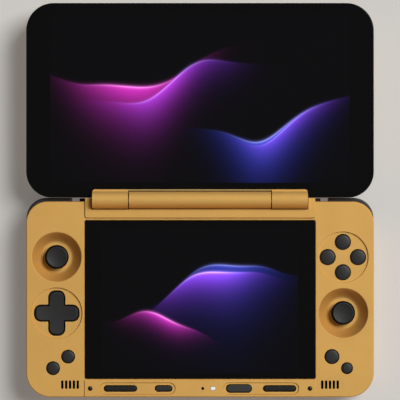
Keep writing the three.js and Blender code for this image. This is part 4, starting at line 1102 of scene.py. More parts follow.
@dataclass
class Buttons:
    """Cross pad, face buttons and small buttons."""

    cross: Pair = (-CONSOLE.control_x, -58.6)
    cross_span: float = 22.1
    cross_arm: float = 7.4
    cross_corner: float = 2.9
    cross_gap: float = 0.75
    cross_edge: float = 0.75
    cross_bottom: float = 15.9
    cross_top: float = 19.95
    cross_flange: float = 1.2
    cross_flange_heights: Pair = (15.25, 16.2)
    dimple_radius: float = 11.6
    dimple_depth: float = 0.55
    socket: Triple = (2.5, 14.0, 16.5)
    dish_radius: float = 13.3
    dish_depth: float = 0.85
    dish_slope: float = 0.16
    face: Pair = (74.0, -29.6)
    face_offset: float = 7.85
    face_radius: float = 3.78
    face_crown: float = 0.22
    small_crown: float = 0.14
    small: dict[str, Triple] = field(
        default_factory=lambda: {
            "left_upper": (-68.3, -81.1, 3.18),
            "left_lower": (-76.1, -87.1, 3.18),
            "right_upper": (68.3, -81.1, 3.48),
            "right_lower": (76.1, -87.1, 2.68),
        }
    )
    gap: float = 0.42
    hole_edge: float = 0.07
    cross_hole_edge: float = 0.08
    stem_radius: float = 1.8
    stem_bottom: float = 14.1
    flange: float = 0.75
    flange_top: float = 17.3
    flange_thickness: float = 1.0
    top: float = 20.35
    edge: float = 0.55

    def cross_plan(self) -> Plus:
        """The cross pad's outline."""
        return Plus(*self.cross, self.cross_span, self.cross_arm, self.cross_corner)

    def face_places(self) -> dict[str, Pair]:
        """The middle of each face button."""
        (x, y), step = self.face, self.face_offset
        return {"top": (x, y + step), "right": (x + step, y), "bottom": (x, y - step), "left": (x - step, y)}

    def cutters(self) -> list[Solid]:
        """Makes what the deck loses for the dishes and the holes.

        Returns:
            The cutters, the dishes first.
        """
        deck, low = CONSOLE.deck, CONSOLE.cut_from
        floor = deck - self.dish_depth
        dish = sunk(floor, deck, self.dish_slope)
        made = [Solid.loft(Disc(*place, self.dish_radius, 120), dish) for place in (self.cross, self.face)]
        hole = wider(flared(low, floor, self.cross_hole_edge), self.cross_gap)
        made.append(Solid.loft(self.cross_plan(), hole))
        holes = [(x, y, self.face_radius, floor) for x, y in self.face_places().values()]
        holes += [(*small, deck) for small in self.small.values()]
        for x, y, radius, surface in holes:
            made.append(Solid.loft(Disc(x, y, radius + self.gap), flared(low, surface, self.hole_edge)))
        return made

    def button(self, radius: float, fall: float) -> Solid:
        """Makes one round button about the origin.

        Args:
            radius: the cap's radius.
            fall: how far its edge lies below its middle.

        Returns:
            The button, with its flange and stem.
        """
        under, wide = self.flange_top - self.flange_thickness, radius + self.flange
        profile: Profile = [(self.stem_radius, self.stem_bottom), (self.stem_radius, under)]
        profile += [(wide, under), (wide, self.flange_top), (radius, self.flange_top)]
        profile += arc((radius - self.edge, self.top - fall - self.edge), self.edge, 0, 68, 5)
        return Solid.turned([*profile, *crown(profile[-1], self.top, 6)], sides=56)

    def cross_pad(self) -> Solid:
        """Makes the cross pad with soft edges, a dimple, its flange and the socket for the rocker.

        Returns:
            The cross pad.
        """
        plan, top, reach = self.cross_plan(), self.cross_top, self.dimple_radius
        bowl = crown((reach, top), top - self.dimple_depth, 8)[::-1]
        beyond, rise, above = 1.5, 0.25, 2.0
        dimple = [*bowl, (reach, top), (reach + beyond, top + rise), (reach + beyond, top + above)]
        pad = Solid.loft(plan, rounded(self.cross_bottom, top, 0.0, self.cross_edge, 6))
        pad.join(Solid.loft(plan, [(self.cross_flange, z) for z in self.cross_flange_heights]))
        return pad.cut(Solid.turned(dimple, self.cross, 96), Solid.rod(*self.socket, self.cross))

    def build(self) -> None:
        """Makes all round buttons and the cross pad."""
        for word, place in self.face_places().items():
            cap = self.button(self.face_radius, self.face_crown).move(*place, 0)
            cap.piece(f"face_cap_{word}", f"button_{word}", BLACK, "black_plastic", f"face_button_{word}")
        for word, (x, y, radius) in self.small.items():
            cap = self.button(radius, self.small_crown).move(x, y, 0)
            cap.piece(f"small_cap_{word}", f"small_{word}", BLACK, "black_plastic", f"small_button_{word}")
        self.cross_pad().piece("cross_key", "cross", BLACK, "black_plastic", "cross_pad")


@dataclass(frozen=True)
class Bar:
    """A bar with round ends on the front strip's middle line."""

    x: float
    length: float
    height: float

    def outline(self, grow: float = 0.0, steps: int = 12) -> Slab:
        """Its outline, seen from above, grown on all sides."""
        return pill(self.x, CONSOLE.strip_line, self.length + 2 * grow, self.height + 2 * grow, steps)


@dataclass
class FrontStrip:
    """The raised strip in front of the lower display, with keys, rubber pads, stop nubs and lamp."""

    top: float = 20.42
    bottom: float = 17.0
    corner: float = 0.3
    rear_edge: tuple[Pair, ...] = ((0.05, 0.12), (0.01, 0.03), (-0.1, 0.0))
    seam: float = 0.34
    seam_floor: float = 19.5
    sink_depth: float = 0.6
    sink_slope: float = 0.45
    sinks: tuple[Bar, ...] = (Bar(-32.3, 39.4, 6.4), Bar(31.65, 39.5, 6.4))
    pad: Bar = Bar(41.2, 16.5, 2.65)
    pad_bottom: float = 19.15
    pad_edges: Pair = (0.1, 0.75)
    pad_drop: float = 0.02
    short_key: Bar = Bar(-18.85, 8.4, 2.65)
    power_key: Bar = Bar(20.15, 12.8, 3.7)
    key_proud: float = 0.25
    key_bottom: float = 16.0
    key_edge: float = 0.5
    key_flange: float = 0.9
    key_flange_heights: Pair = (16.3, 17.3)
    key_stem_heights: Pair = (14.1, 16.5)
    pocket_gap: float = 0.4
    pocket_edge: float = 0.08
    pad_pocket: float = 1.0
    nub_x: float = 56.9
    nub_radius: float = 1.0
    nub_side: float = 20.2
    nub_heights: Pair = (19.55, 0.4)
    nub_hole: Pair = (1.2, 19.2)
    hole_edge: float = 0.12
    microphone: Pair = (1.4, 0.75)
    lamp: Bar = Bar(6.75, 2.7, 2.0)
    lamp_gap: float = 0.1
    lamp_bottom: float = 17.2
    lamp_edge: float = 0.2
    lamp_foot: Triple = (2.7, 1.55, 14.6)
    lamp_foot_top: float = 17.3

    @property
    def floor(self) -> float:
        """The height of the recesses' floor."""
        return self.top - self.sink_depth

    def pads(self) -> dict[Side, Bar]:
        """The rubber pad on each side."""
        return {side: replace(self.pad, x=side.value * self.pad.x) for side in Side}

    def raised(self) -> Solid:
        """Makes what the strip adds to the deck.

        Returns:
            The strip's plate, within the base's outline.
        """
        c, beyond = CONSOLE, 20.0
        plan = box_outline(-c.middle, c.middle, c.front - beyond, c.strip_rear, self.corner, 4)
        edge = [(grow, self.top - fall) for grow, fall in self.rear_edge]
        plate = Solid.loft(plan, [(edge[0][0], c.within), *edge])
        return plate.meet(Solid.loft(c.outline(), rounded(self.bottom, self.top, 0.0, c.deck_edge, 5)))

    def seam_cutter(self) -> Solid:
        """Makes what the deck loses along the left end of the strip.

        Returns:
            The cutter.
        """
        c, above = CONSOLE, 22.0
        beyond, overlap, past = 1.0, 0.1, 0.2
        low = (-c.middle - self.seam, c.front - beyond, self.seam_floor)
        return Solid.block(low, (-c.middle + overlap, c.strip_rear + past, above))

    def cutters(self) -> list[Solid]:
        """Makes what the strip loses for recesses, pockets and holes.

        Returns:
            The cutters.
        """
        line, low, floor = CONSOLE.strip_line, CONSOLE.cut_from, self.floor
        slope = sunk(floor, self.top, self.sink_slope)
        pocket = flared(floor - self.pad_pocket, floor, self.pocket_edge)
        through = flared(low, floor, self.pocket_edge)
        hole = flared(low, self.top, self.hole_edge)
        radius, nub_floor = self.nub_hole
        made = [Solid.loft(sink.outline(steps=14), slope) for sink in self.sinks]
        for side, pad in self.pads().items():
            made.append(Solid.loft(pad.outline(self.pocket_gap, 10), pocket))
            nub = Disc(side.value * self.nub_x, line, radius, 28)
            made.append(Solid.loft(nub, flared(nub_floor, self.top, self.hole_edge)))
        for key in (self.short_key, self.power_key):
            made.append(Solid.loft(key.outline(self.pocket_gap, 10), through))
        x, radius = self.microphone
        made.append(Solid.loft(Disc(x, line, radius, 28), hole))
        made.append(Solid.loft(self.lamp.outline(self.lamp_gap, 6), hole))
        return made

    def key(self, bar: Bar) -> Solid:
        """Makes one key with its flange and stem.

        Args:
            bar: its place and size.

        Returns:
            The key.
        """
        x, y, height = bar.x, CONSOLE.strip_line, bar.height
        top = self.floor + self.key_proud
        cap = Solid.loft(bar.outline(), rounded(self.key_bottom, top, 0.0, self.key_edge, 5))
        half = bar.length / 2 + self.key_flange
        (low, high), (start, end) = self.key_flange_heights, self.key_stem_heights
        flange = Solid.block((x - half, y - height / 2, low), (x + half, y + height / 2, high))
        stem = Solid.block((x - height / 2, y - height / 4, start), (x + height / 2, y + height / 4, end))
        return cap.join(flange, stem)

    def build(self) -> None:
        """Makes the keys, pads, nubs and lamp."""
        y = CONSOLE.strip_line
        self.key(self.short_key).piece("short_key_cap", "short_key", BLACK, "black_plastic", "short_key")
        self.key(self.power_key).piece("power_key_cap", "power_key", KEY_GREY, "key_grey", "power_key")
        bottom, bulge = self.nub_heights
        side_line = [(self.nub_radius, bottom), (self.nub_radius, self.nub_side)]
        share = bulge / self.nub_radius
        dome = [(r, self.nub_side + share * z) for r, z in arc(ORIGIN, self.nub_radius, 15, 75, 4)]
        profile = rounded(self.pad_bottom, self.top - self.pad_drop, *self.pad_edges, 6)
        for side, bar in self.pads().items():
            pad = Solid.loft(bar.outline(), profile)
            pad.piece(f"stop_pad_{side.word}", "base", RUBBER, "black_rubber", f"rubber_pad_{side.word}")
            nub = Solid.turned([*side_line, *dome], (side.value * self.nub_x, y), 32)
            nub.piece(f"nub_{side.word}", "base", NUB, "black_rubber", f"stop_nub_{side.word}")
        x, (across, along, low) = self.lamp.x, self.lamp_foot
        profile = rounded(self.lamp_bottom, self.top, 0.0, self.lamp_edge, 3)
        guide = Solid.loft(self.lamp.outline(steps=8), profile)
        guide.join(Solid.block((x - across, y - along, low), (x + across, y + along, self.lamp_foot_top)))
        guide.piece("lamp_guide", "base", LAMP, "lamp", "status_lamp")


@dataclass
class Shoulders:
    """Shoulder buttons and triggers, which share one curve round each rear corner."""

    inner: float = 66.8
    rear: float = 1.1
    corner: float = 10.4
    side_end: float = -11.0
    straight: Pair = (0.6, 1.0)
    edge: float = 0.7
    pin: Pair = (64.6, -5.4)
    pin_radius: float = 0.9
    pin_heights: Pair = (3.8, 18.0)
    bore_radius: float = 1.15
    ear_radius: float = 1.9
    arm_reach: float = 2.4
    arm_front: float = 0.9
    arm_rear: float = 1.8
    shoulder: Triple = (3.0, 12.2, 17.3)
    trigger: Triple = (4.0, 3.4, 11.6)
    window_heights: Pair = (3.15, 17.6)
    window_front: float = -13.6
    window_gap: float = 0.3
    bay_inner: float = 62.1
    bay_rear: float = -2.75

    def window(self, side: Side) -> Solid:
        """Makes what one side of the shells loses for shoulder button and trigger.

        Args:
            side: the side.

        Returns:
            The cutter.
        """
        beyond_x, beyond_y = 92.0, 4.0
        front, (low, high) = self.window_front, self.window_heights
        notch = Solid.block((self.inner - self.window_gap, front, low), (beyond_x, beyond_y, high))
        bay = Solid.block((self.bay_inner, front, low), (self.inner, self.bay_rear, high))
        return notch.join(bay).on(side)

    def pins(self) -> list[Solid]:
        """The two pins that the levers turn on."""
        x, y = self.pin
        return [Solid.rod(self.pin_radius, *self.pin_heights, (side.value * x, y), 24) for side in Side]

    def lever(self, depth: float, bottom: float, top: float) -> Solid:
        """Makes one right-hand lever: its curved face, arm and ear.

        Args:
            depth: how thick its face is.
            bottom: its lowest height.
            top: its highest height.

        Returns:
            The lever.
        """
        (x, y), half, inner = self.pin, CONSOLE.half, self.inner
        centre = (half - self.corner, self.rear - self.corner)
        side, back = half - depth / 2, self.rear - depth / 2
        first, last = self.straight
        bend = arc(centre, self.corner - depth / 2, 0, 90, 16)
        start = ((side, self.side_end), (side, self.side_end + first))
        path = (*start, *bend, (inner + last, back), (inner, back))
        face = Solid.loft(Band(path, depth), rounded(bottom, top, self.edge, self.edge, 4))
        front, rear, reach = y - self.arm_front, y + self.arm_rear, inner + self.arm_reach
        plan = Polygon(((x, front), (reach, front), (reach, back), (inner, back), (inner, rear), (x, rear)))
        inset, beyond = 0.02, 1.0
        arm = Solid.prism(plan, bottom + inset, top - inset)
        bore = Solid.rod(self.bore_radius, bottom - beyond, top + beyond, self.pin, 24)
        return face.join(arm, Solid.rod(self.ear_radius, bottom, top, self.pin)).cut(bore)

    def build(self) -> None:
        """Makes the four levers."""
        kinds = (("shoulder", "shoulder_button", self.shoulder), ("trigger", "trigger", self.trigger))
        for side in Side:
            for kind, node, sizes in kinds:
                body = f"{kind}_{side.word}"
                lever = self.lever(*sizes).on(side)
                name = f"{kind}_key_{side.word}"
                lever.piece(name, body, SIDE_BLACK, "black_plastic", f"{node}_{side.word}")


def corners(rear_x: float, rear: float, front_x: float, front: float) -> dict[str, Pair]:
    """Four places under the base, two near its rear edge and two near its front."""
    rows = (("rear", rear_x, rear), ("front", front_x, front))
    return {f"{row}_{side.word}": (side.value * x, y) for row, x, y in rows for side in Side}


@dataclass
class BaseShells:
    """The deck and the belly of the base, with their openings."""

    buttons: Buttons
    sticks: Sticks
    strip: FrontStrip
    shoulders: Shoulders
    wall: float = 2.0
    underside: float = 17.6
    parting: float = 8.0
    seam_gap: float = 0.06
    seam_bevel: float = 0.3
    deck_side: float = 9.0
    deck_hollow: float = 5.0
    belly_bottom: float = 1.0
    belly_edge: float = 2.4
    belly_floor: float = 3.0
    belly_hollow: float = 12.0
    cover_slot: Bounds = (-59.9, 59.74, -9.56, 4.0, 1.2)
    cover_slot_heights: Pair = (15.2, 23.0)
    cover_room: Pair = (59.9, -9.6)
    glass: Bounds = (-59.7, 59.7, -92.6, -10.55, 0.8)
    glass_gap: float = 0.1
    glass_rest: float = 2.0
    seat: float = 18.6
    seat_edge: float = 0.12
    ledge: Bounds = (-60.15, 60.05, -92.95, -10.2, 1.0)
    ledge_depth: float = 0.2
    ledge_slope: float = 0.14
    vent: tuple[Triple, Triple] = ((-62.9, -5.75, 3.2), (62.9, 3.0, 15.5))
    slot_x: float = 67.3
    slot_y: float = -95.6
    slot_pitch: float = 2.0
    slot_size: Triple = (1.22, 4.25, 0.3)
    slot_edge: float = 0.05
    screws: dict[str, Pair] = field(default_factory=lambda: corners(63.3, -15.5, 83.0, -92.5))
    boss_radius: float = 2.7
    boss_heights: Pair = (8.15, 18.0)
    boss_bore: Pair = (6.0, 11.9)
    post_heights: Pair = (2.5, 7.85)
    post_bore: Pair = (-1.0, 9.0)
    bore_radius: float = 1.2
    screw_well: Pair = (2.2, 2.7)
    screw_profile: tuple[Pair, ...] = ((1.5, 1.3), (1.9, 1.45), (1.9, 2.35), (0.9, 2.4), (0.9, 10.8))
    star: tuple[float, float, float, float] = (2.1, 0.75, 0.12, 0.08)
    star_profile: tuple[Pair, ...] = ((0.0, 0.5), (0.0, 1.3), (-0.12, 1.95))
    feet: dict[str, Pair] = field(default_factory=lambda: corners(74.0, -8.0, 74.0, -91.0))
    foot_well: Pair = (4.2, 1.9)
    foot_profile: tuple[Pair, ...] = ((3.3, 0.0), (3.75, 0.15), (3.95, 0.5), (4.0, 0.9), (4.0, 1.6))
    groove_radius: float = 2.2
    groove_profile: tuple[Pair, ...] = ((0.25, -0.5), (0.0, 0.25))
    well_edge: float = 0.2
    rest_half: float = 8.0
    rest_heights: Pair = (2.5, 3.7)
    fan: Pair = (-23.0, -33.0)
    fan_reach: float = 11.0
    fan_pitch: float = 4.0
    fan_slot: float = 1.6
    fan_slot_top: float = 5.0
    fan_slot_edge: float = 0.25

    def display_cutters(self) -> list[Solid]:
        """Makes the cutters for the ledge round the lower glass, the glass's seat and the opening below it.

        Returns:
            The three cutters.
        """
        deck, rest = CONSOLE.deck, self.glass_rest
        floor = deck - self.ledge_depth
        left, right, near, far, _ = self.glass
        low, high = CONSOLE.cut_from, 21.0
        seat = wider(flared(self.seat, floor, self.seat_edge), self.glass_gap)
        return [
            Solid.loft(box_outline(*self.ledge, 6), sunk(floor, deck, self.ledge_slope)),
            Solid.loft(box_outline(*self.glass, 6), seat),
            Solid.block((left + rest, near + rest, low), (right - rest, far - rest, high)),
        ]

    def speaker_slots(self) -> list[Solid]:
        """Makes the cutters for the two rows of five slots.

        Returns:
            The cutters.
        """
        profile = flared(CONSOLE.cut_from, CONSOLE.deck, self.slot_edge)
        width, length, corner = self.slot_size
        near, far = self.slot_y - length / 2, self.slot_y + length / 2
        places = [side.value * self.slot_x + self.slot_pitch * (i - 2) for side in Side for i in range(5)]
        slots = [box_outline(x - width / 2, x + width / 2, near, far, corner, 4) for x in places]
        return [Solid.loft(slot, profile) for slot in slots]

    def rear_cutters(self) -> list[Solid]:
        """What both shells lose for the levers and the vent panel."""
        return [*(self.shoulders.window(side) for side in Side), Solid.block(*self.vent)]

    def columns(self, radius: float, heights: Pair, sides: int) -> list[Solid]:
        """A round column or bore at each screw."""
        return [Solid.rod(radius, *heights, place, sides) for place in self.screws.values()]

    def build_deck(self) -> None:
        """Makes the deck with every opening that the controls need."""
        outline, deck_top = CONSOLE.outline(), CONSOLE.deck
        seam = [(-self.seam_bevel, self.parting + self.seam_gap), (0.0, self.parting + self.seam_bevel)]
        deck = Solid.loft(outline, [*seam, *rounded(self.deck_side, deck_top, 0.0, CONSOLE.deck_edge, 6)])
        deck.cut(Solid.loft(outline, [(-self.wall, self.deck_hollow), (-self.wall, self.underside)]))
        bowls, wells = zip(*(self.sticks.well(place) for place in self.sticks.places.values()))
        deck.cut(self.strip.seam_cutter())
        deck.join(self.strip.raised(), *bowls)
        slot = Solid.prism(box_outline(*self.cover_slot, 6), *self.cover_slot_heights)
        deck.cut(*self.rear_cutters(), slot, *self.display_cutters())
        deck.cut(*wells)
        deck.cut(*self.buttons.cutters())
        deck.cut(*self.speaker_slots(), *self.strip.cutters())
        deck.join(*self.shoulders.pins(), *self.columns(self.boss_radius, self.boss_heights, 32))
        deck.cut(*self.columns(self.bore_radius, self.boss_bore, 24))
        # Faces inside the deck and on hole walls get near-black: the unpainted inside, darkened to painted
        # shade
        repaint(deck.piece("deck_shell", "base", GOLD, "gold_shell", "base_front_shell"), BARE_SHADE_BLACK, self.is_bare_in_shade)

    def inset(self, x: float, y: float) -> float:
        """Measures how far a point lies inside the base's outline, seen from above.

        Args:
            x: the point's X.
            y: its Y.

        Returns:
            The distance, below nought for a point outside.
        """
        c, radius = CONSOLE, CONSOLE.front_corner
        out_x = abs(x) - (c.half - radius)
        out_y = abs(y - (c.rear + c.front) / 2) - ((c.rear - c.front) / 2 - radius)
        outside = math.hypot(max(out_x, 0.0), max(out_y, 0.0)) + min(max(out_x, out_y), 0.0)
        return radius - outside

    def is_bare_in_shade(self, centre: Vector, normal: Vector) -> bool:
        """Tells whether a face of the deck lies inside it or on the wall of a hole: unpainted there, and
        given near-black painted shade.

        Args:
            centre: the face's middle.
            normal: its normal.

        Returns:
            Whether it is unpainted and takes the painted shade.
        """
        least_inset, least_facing, pocket_top, hole_top = 1.4, 0.25, 19.5, 19.25
        x, y, z = centre
        room_half, room_front = self.cover_room
        if y > room_front and abs(x) < room_half and z > CONSOLE.cut_from:
            return False
        pocket = y < CONSOLE.strip_rear and z < pocket_top
        hole = normal.z < least_facing and z < hole_top
        return self.inset(x, y) > least_inset and (hole or pocket)

    def build_belly(self) -> None:
        """Makes the rear shell with its round lower edge, fan slots, feet seats and screw wells."""
        outline, half, edge = CONSOLE.outline(), self.rest_half, self.belly_edge
        seam = [(0.0, self.parting - self.seam_bevel), (-self.seam_bevel, self.parting - self.seam_gap)]
        belly = Solid.loft(outline, [*arc((-edge, self.belly_bottom + edge), edge, -90, 0, 7), *seam])
        belly.cut(Solid.loft(outline, [(-self.wall, self.belly_floor), (-self.wall, self.belly_hollow)]))
        belly.cut(*self.rear_cutters())
        (low, high), sticks = self.rest_heights, self.sticks.places.values()
        rests = [Solid.block((x - half, y - half, low), (x + half, y + half, high)) for x, y in sticks]
        belly.join(*self.columns(self.boss_radius, self.post_heights, 32), *rests)
        tools = self.columns(self.bore_radius, self.post_bore, 24)
        rows = ((self.screws, self.screw_well, 32), (self.feet, self.foot_well, 48))
        for places, (radius, top), sides in rows:
            discs = [Disc(*place, radius, sides) for place in places.values()]
            tools += [self.downward(disc, top, self.well_edge) for disc in discs]
        belly.cut(*tools, *self.fan_slots())
        belly.piece("belly_shell", "base", GOLD, "gold_shell", "base_rear_shell")

    def downward(self, outline: Outline, top: float, flare: float) -> Solid:
        """Makes a cutter that opens downwards through the belly's lower face with a round edge.

        Args:
            outline: its outline.
            top: how high it reaches.
            flare: the radius of the edge.

        Returns:
            The cutter.
        """
        bottom, below = self.belly_bottom, -1.0
        edge = [(grow, 2 * bottom - z) for grow, z in flared(below, bottom, flare, 3)[1:-1]]
        return Solid.loft(outline, [(flare, below), *edge[::-1], (0.0, top)])

    def fan_slots(self) -> list[Solid]:
        """Makes the cutters for the rows of slots under the fan, within its inlet.

        Returns:
            The cutters.
        """
        x, y = self.fan
        made = []
        for shift in (self.fan_pitch * (i - 2) for i in range(5)):
            length = 2 * math.sqrt(self.fan_reach**2 - shift**2)
            slot = pill(x, y + shift, length, self.fan_slot, 8)
            made.append(self.downward(slot, self.fan_slot_top, self.fan_slot_edge))
        return made

    def build_small(self) -> None:
        """Makes screws and feet."""
        for word, place in self.screws.items():
            star = Solid.loft(Plus(*place, *self.star, steps=2), list(self.star_profile))
            screw = Solid.turned(list(self.screw_profile), place, 32).cut(star)
            screw.piece(f"screw_head_{word}", "base", STEEL, "steel", f"screw_{word}")
        for word, place in self.feet.items():
            groove = Solid.loft(Disc(*place, self.groove_radius, 48), list(self.groove_profile))
            pad = Solid.turned(list(self.foot_profile), place, 48).cut(groove)
            pad.piece(f"foot_pad_{word}", "base", RUBBER, "black_rubber", f"foot_{word}")

    def build(self) -> None:
        """Makes the shells and what fastens and carries them."""
        self.build_deck()
        self.build_belly()
        self.build_small()


@dataclass
class RearPanel:
    """The dark vent panel between the shoulder buttons, and the charging socket."""

    half: float = 62.6
    heights: Pair = (3.5, 15.2)
    corner: float = 1.6
    rear: float = 0.85
    thickness: float = 2.75
    edge: float = 0.35
    slot_heights: Pair = (4.6, 9.2)
    slot_half: float = 1.2
    slot_corner: float = 0.7
    slot_pitch: float = 4.6
    slot_start: float = 8.4
    slot_count: int = 8
    slot_round: float = 0.15
    through: Pair = (-3.0, 5.0)
    mouth: Triple = (10.2, 9.5, 3.7)
    socket: Triple = (10.05, 9.0, 3.2)
    socket_depth: float = 7.4
    socket_edge: float = 0.12
    socket_room: Triple = (10.05, 8.3, 2.5)
    room_profile: tuple[Pair, ...] = ((0.1, -1.0), (0.1, 0.0), (0.0, 0.2), (0.0, 7.0))
    tongue: Bounds = (-3.3, 3.3, 9.7, 10.4, 0.2)
    tongue_reach: Pair = (1.2, 7.2)
    tongue_edge: float = 0.2

    def build(self) -> None:
        """Makes the panel with its slots, and the socket's shell with its tongue."""
        outline = box_outline(-self.half, self.half, *self.heights, self.corner, 8)
        panel = Solid.loft(outline, rounded(-self.thickness, 0.0, 0.0, self.edge, 4)).along_y()
        panel.shape(Matrix.Scale(-1, 4, (0, 1, 0))).move(0, self.rear, 0)
        openings: list[Outline] = [pill(0.0, *self.mouth)]
        half, edge = self.slot_half, self.socket_edge
        for side in Side:
            for i in range(self.slot_count):
                x = side.value * (self.slot_start + (i + 0.5) * self.slot_pitch)
                openings.append(box_outline(x - half, x + half, *self.slot_heights, self.slot_corner, 5))
        panel.cut(*(Solid.prism(opening, *self.through).along_y() for opening in openings))
        panel.soften(self.slot_round, 2)
        panel.piece("rear_grille", "base", SIDE_BLACK, "black_plastic", "rear_vent_panel")
        shell = Solid.loft(pill(0.0, *self.socket), [(-edge, 0.0), (0.0, edge), (0.0, self.socket_depth)])
        profile = rounded(*self.tongue_reach, self.tongue_edge, 0.0, 2)
        tongue = Solid.loft(box_outline(*self.tongue, 3), profile)
        shell.cut(Solid.loft(pill(0.0, *self.socket_room), list(self.room_profile))).join(tongue).along_y()
        shell.piece("socket_shell", "base", STEEL, "steel", "charging_socket")


@dataclass
class Hinge:
    """The cover with the middle barrel on the base, and the housing with the knuckles on the lid."""

    barrel_radius: float = 4.45
    barrel_half: float = 36.7
    barrel_inset: float = 0.1
    barrel_edge: float = 0.12
    barrel_bore: Pair = (3.3, 45.0)
    cover: Bounds = (-59.7, 59.8, -9.4, 6.0, 1.15)
    cover_inset: float = 0.1
    cover_bottom: float = 15.85
    cover_top: float = 20.5
    cover_edge: float = 0.3
    crest_inset: float = 0.6
    behind: tuple[Triple, Triple] = ((-70.0, 1.0, 10.0), (70.0, 10.0, 30.0))
    saddle: Pair = (-7.4, 0.3)
    saddle_drop: float = 0.05
    groove: Pair = (-4.9, -4.33)
    groove_depth: float = 1.6
    room: Pair = (5.0, 56.15)
    knuckle_start: float = 37.2
    knuckle_end: float = 55.7
    knuckle_bore: Triple = (1.8, 35.0, 53.3)
    web_section: tuple[Pair, ...] = (
        (1.5, 15.55), (5.53, 15.55), (5.53, 20.45), (5.43, 20.6), (5.3, 20.62), (1.5, 20.62)
    )
    web_room: float = 4.88
    web_cut: tuple[Pair, Pair] = ((4.0, 20.25), (6.5, 22.0))
    web_half: float = 37.0
    web_shade: float = 4.5
    web_facing: float = 0.3
    housing_round: float = 0.3
    plan: Pair = (-6.0, 5.53)
    plan_corners: Pair = (0.3, 1.4)
    plan_heights: Pair = (10.0, 30.0)
    flange: tuple[Pair, Pair] = ((3.3, 13.15), (12.65, 15.05))
    neck: tuple[Pair, Pair] = ((3.3, 13.5), (5.4, 16.5))

    def bar(self, radius: float, start: float, end: float, edge: float = 0.0) -> Solid:
        """Makes a round bar on the hinge axis.

        Args:
            radius: its radius.
            start: its lowest X.
            end: its highest X.
            edge: the radius of its end edges.

        Returns:
            The bar.
        """
        outline = Disc(0.0, CONSOLE.axis, radius, 72)
        return Solid.loft(outline, rounded(start, end, edge, edge, 3)).along_x()

    def knuckle_bars(self, radius: float, inner: float, outer: float) -> list[Solid]:
        """The same round bar on both sides."""
        return [self.bar(radius, *sorted((side.value * inner, side.value * outer))) for side in Side]

    def build_cover(self) -> None:
        """Makes the cover plate with the middle barrel."""
        half, top, edge, inset = self.barrel_half, self.cover_top, self.cover_edge, self.cover_inset
        room_radius, room_half = self.room
        bore_radius, bore_half = self.barrel_bore
        crest = arc((-inset - edge, top - edge), edge, 0, 78, 5)
        profile = [(-inset, self.cover_bottom), *crest, (-self.crest_inset, top)]
        plate = Solid.loft(box_outline(*self.cover, 8), profile)
        plate.cut(Solid.block(*self.behind))
        plate.cut(self.bar(room_radius, -room_half, room_half))
        front, rear = self.saddle
        saddle = Solid.block((-half, front, self.cover_bottom), (half, rear, top - self.saddle_drop))
        plate.join(saddle, self.bar(self.barrel_radius - self.barrel_inset, -half, half, self.barrel_edge))
        (front, rear), above = self.groove, 21.0
        groove = Solid.block((-half, front, top - self.groove_depth), (half, rear, above))
        plate.cut(self.bar(bore_radius, -bore_half, bore_half), groove)
        # Cover plate and middle barrel take the shaded hinge gold: darker, with painted shade on faces turned
        # to -Y
        plate.piece("hinge_cover", "base", HINGE_SHADED_GOLD, "gold_shell", "base_hinge_cover")

    def in_web(self, centre: Vector, normal: Vector) -> bool:
        """Whether a face lies on top of the thin strip between the knuckles, which takes painted shade."""
        return abs(centre.x) < self.web_half and centre.y > self.web_shade and normal.z > self.web_facing

    def build_housing(self) -> None:
        """Makes the lid's housing: two knuckles, the thin strip between them and a flange inside the lid."""
        start, end = self.knuckle_start, self.knuckle_end
        (near, far), (small, large) = self.plan, self.plan_corners
        web = Solid.prism(Polygon(self.web_section), -end, end).along_x()
        low, high = self.web_cut
        web.cut(self.bar(self.web_room, -start, start), Solid.block((-start, *low), (start, *high)))
        web.join(*self.knuckle_bars(self.barrel_radius, start, end))
        web.meet(Solid.prism(Slab(-end, end, near, far, (small, large, large, small), 8), *self.plan_heights))
        web.soften(self.housing_round, 3, angle=40)
        web.join(*(Solid.block((-end, *low), (end, *high)) for low, high in (self.flange, self.neck)))
        for bore in self.knuckle_bars(*self.knuckle_bore):
            web.cut(bore)
        # The knuckles take the shaded hinge gold: darker, with painted shade on faces turned to -Y
        housing = web.piece("hinge_housing", "lid", HINGE_SHADED_GOLD, "gold_shell", "lid_hinge_housing")
        # The top of the strip between the knuckles gets painted shade
        repaint(housing, WEB_SHADED_GOLD, self.in_web)

    def build(self) -> None:
        """Makes both halves of the hinge."""
        self.build_cover()
        self.build_housing()


@dataclass
class Lid:
    """The lid's cover and its full-face glass."""

    near: float = 1.2
    far: float = 102.0
    near_corner: float = 13.5
    far_corner: float = 14.2
    face: float = 20.35
    thickness: float = 9.0
    wall: float = 1.8
    floor: float = 1.5
    edge: float = 2.6
    seam_gap: float = 0.1
    seam_bevel: float = 0.25
    glass_thickness: float = 0.95
    glass_edges: Pair = (0.1, 0.35)
    notch_bounds: Bounds = (-55.95, 55.95, -4.0, 5.9, 1.5)
    notch_heights: Pair = (15.2, 30.0)

    def outline(self) -> Slab:
        """The lid's outline, seen from above."""
        radii = (self.near_corner, self.far_corner, self.far_corner, self.near_corner)
        return Slab(-CONSOLE.half, CONSOLE.half, self.near, self.far, radii, 16)

    def notch(self) -> Solid:
        """The room that cover and glass leave for the hinge housing."""
        return Solid.prism(box_outline(*self.notch_bounds, 6), *self.notch_heights)

    def build(self) -> None:
        """Makes the cover and the glass."""
        bottom, above = self.face - self.thickness, 25.0
        seam = self.face - self.glass_thickness
        rim, edge, bevel = seam - self.seam_gap, self.edge, self.seam_bevel
        side = arc((-edge, bottom + edge), edge, -90, 0, 8)
        cover = Solid.loft(self.outline(), [*side, (0.0, rim - bevel), (-bevel, rim)])
        hollow = Solid.loft(self.outline(), [(-self.wall, bottom + self.floor), (-self.wall, above)])
        cover.cut(hollow, self.notch())
        cover.piece("lid_cover", "lid", GOLD, "gold_shell", "lid_back_cover")
        glass = Solid.loft(self.outline(), rounded(seam, self.face, *self.glass_edges, 4))
        glass.cut(self.notch())
        glass.piece("upper_glass", "lid", UPPER_GLASS, "black_glass", "lid_front_glass")


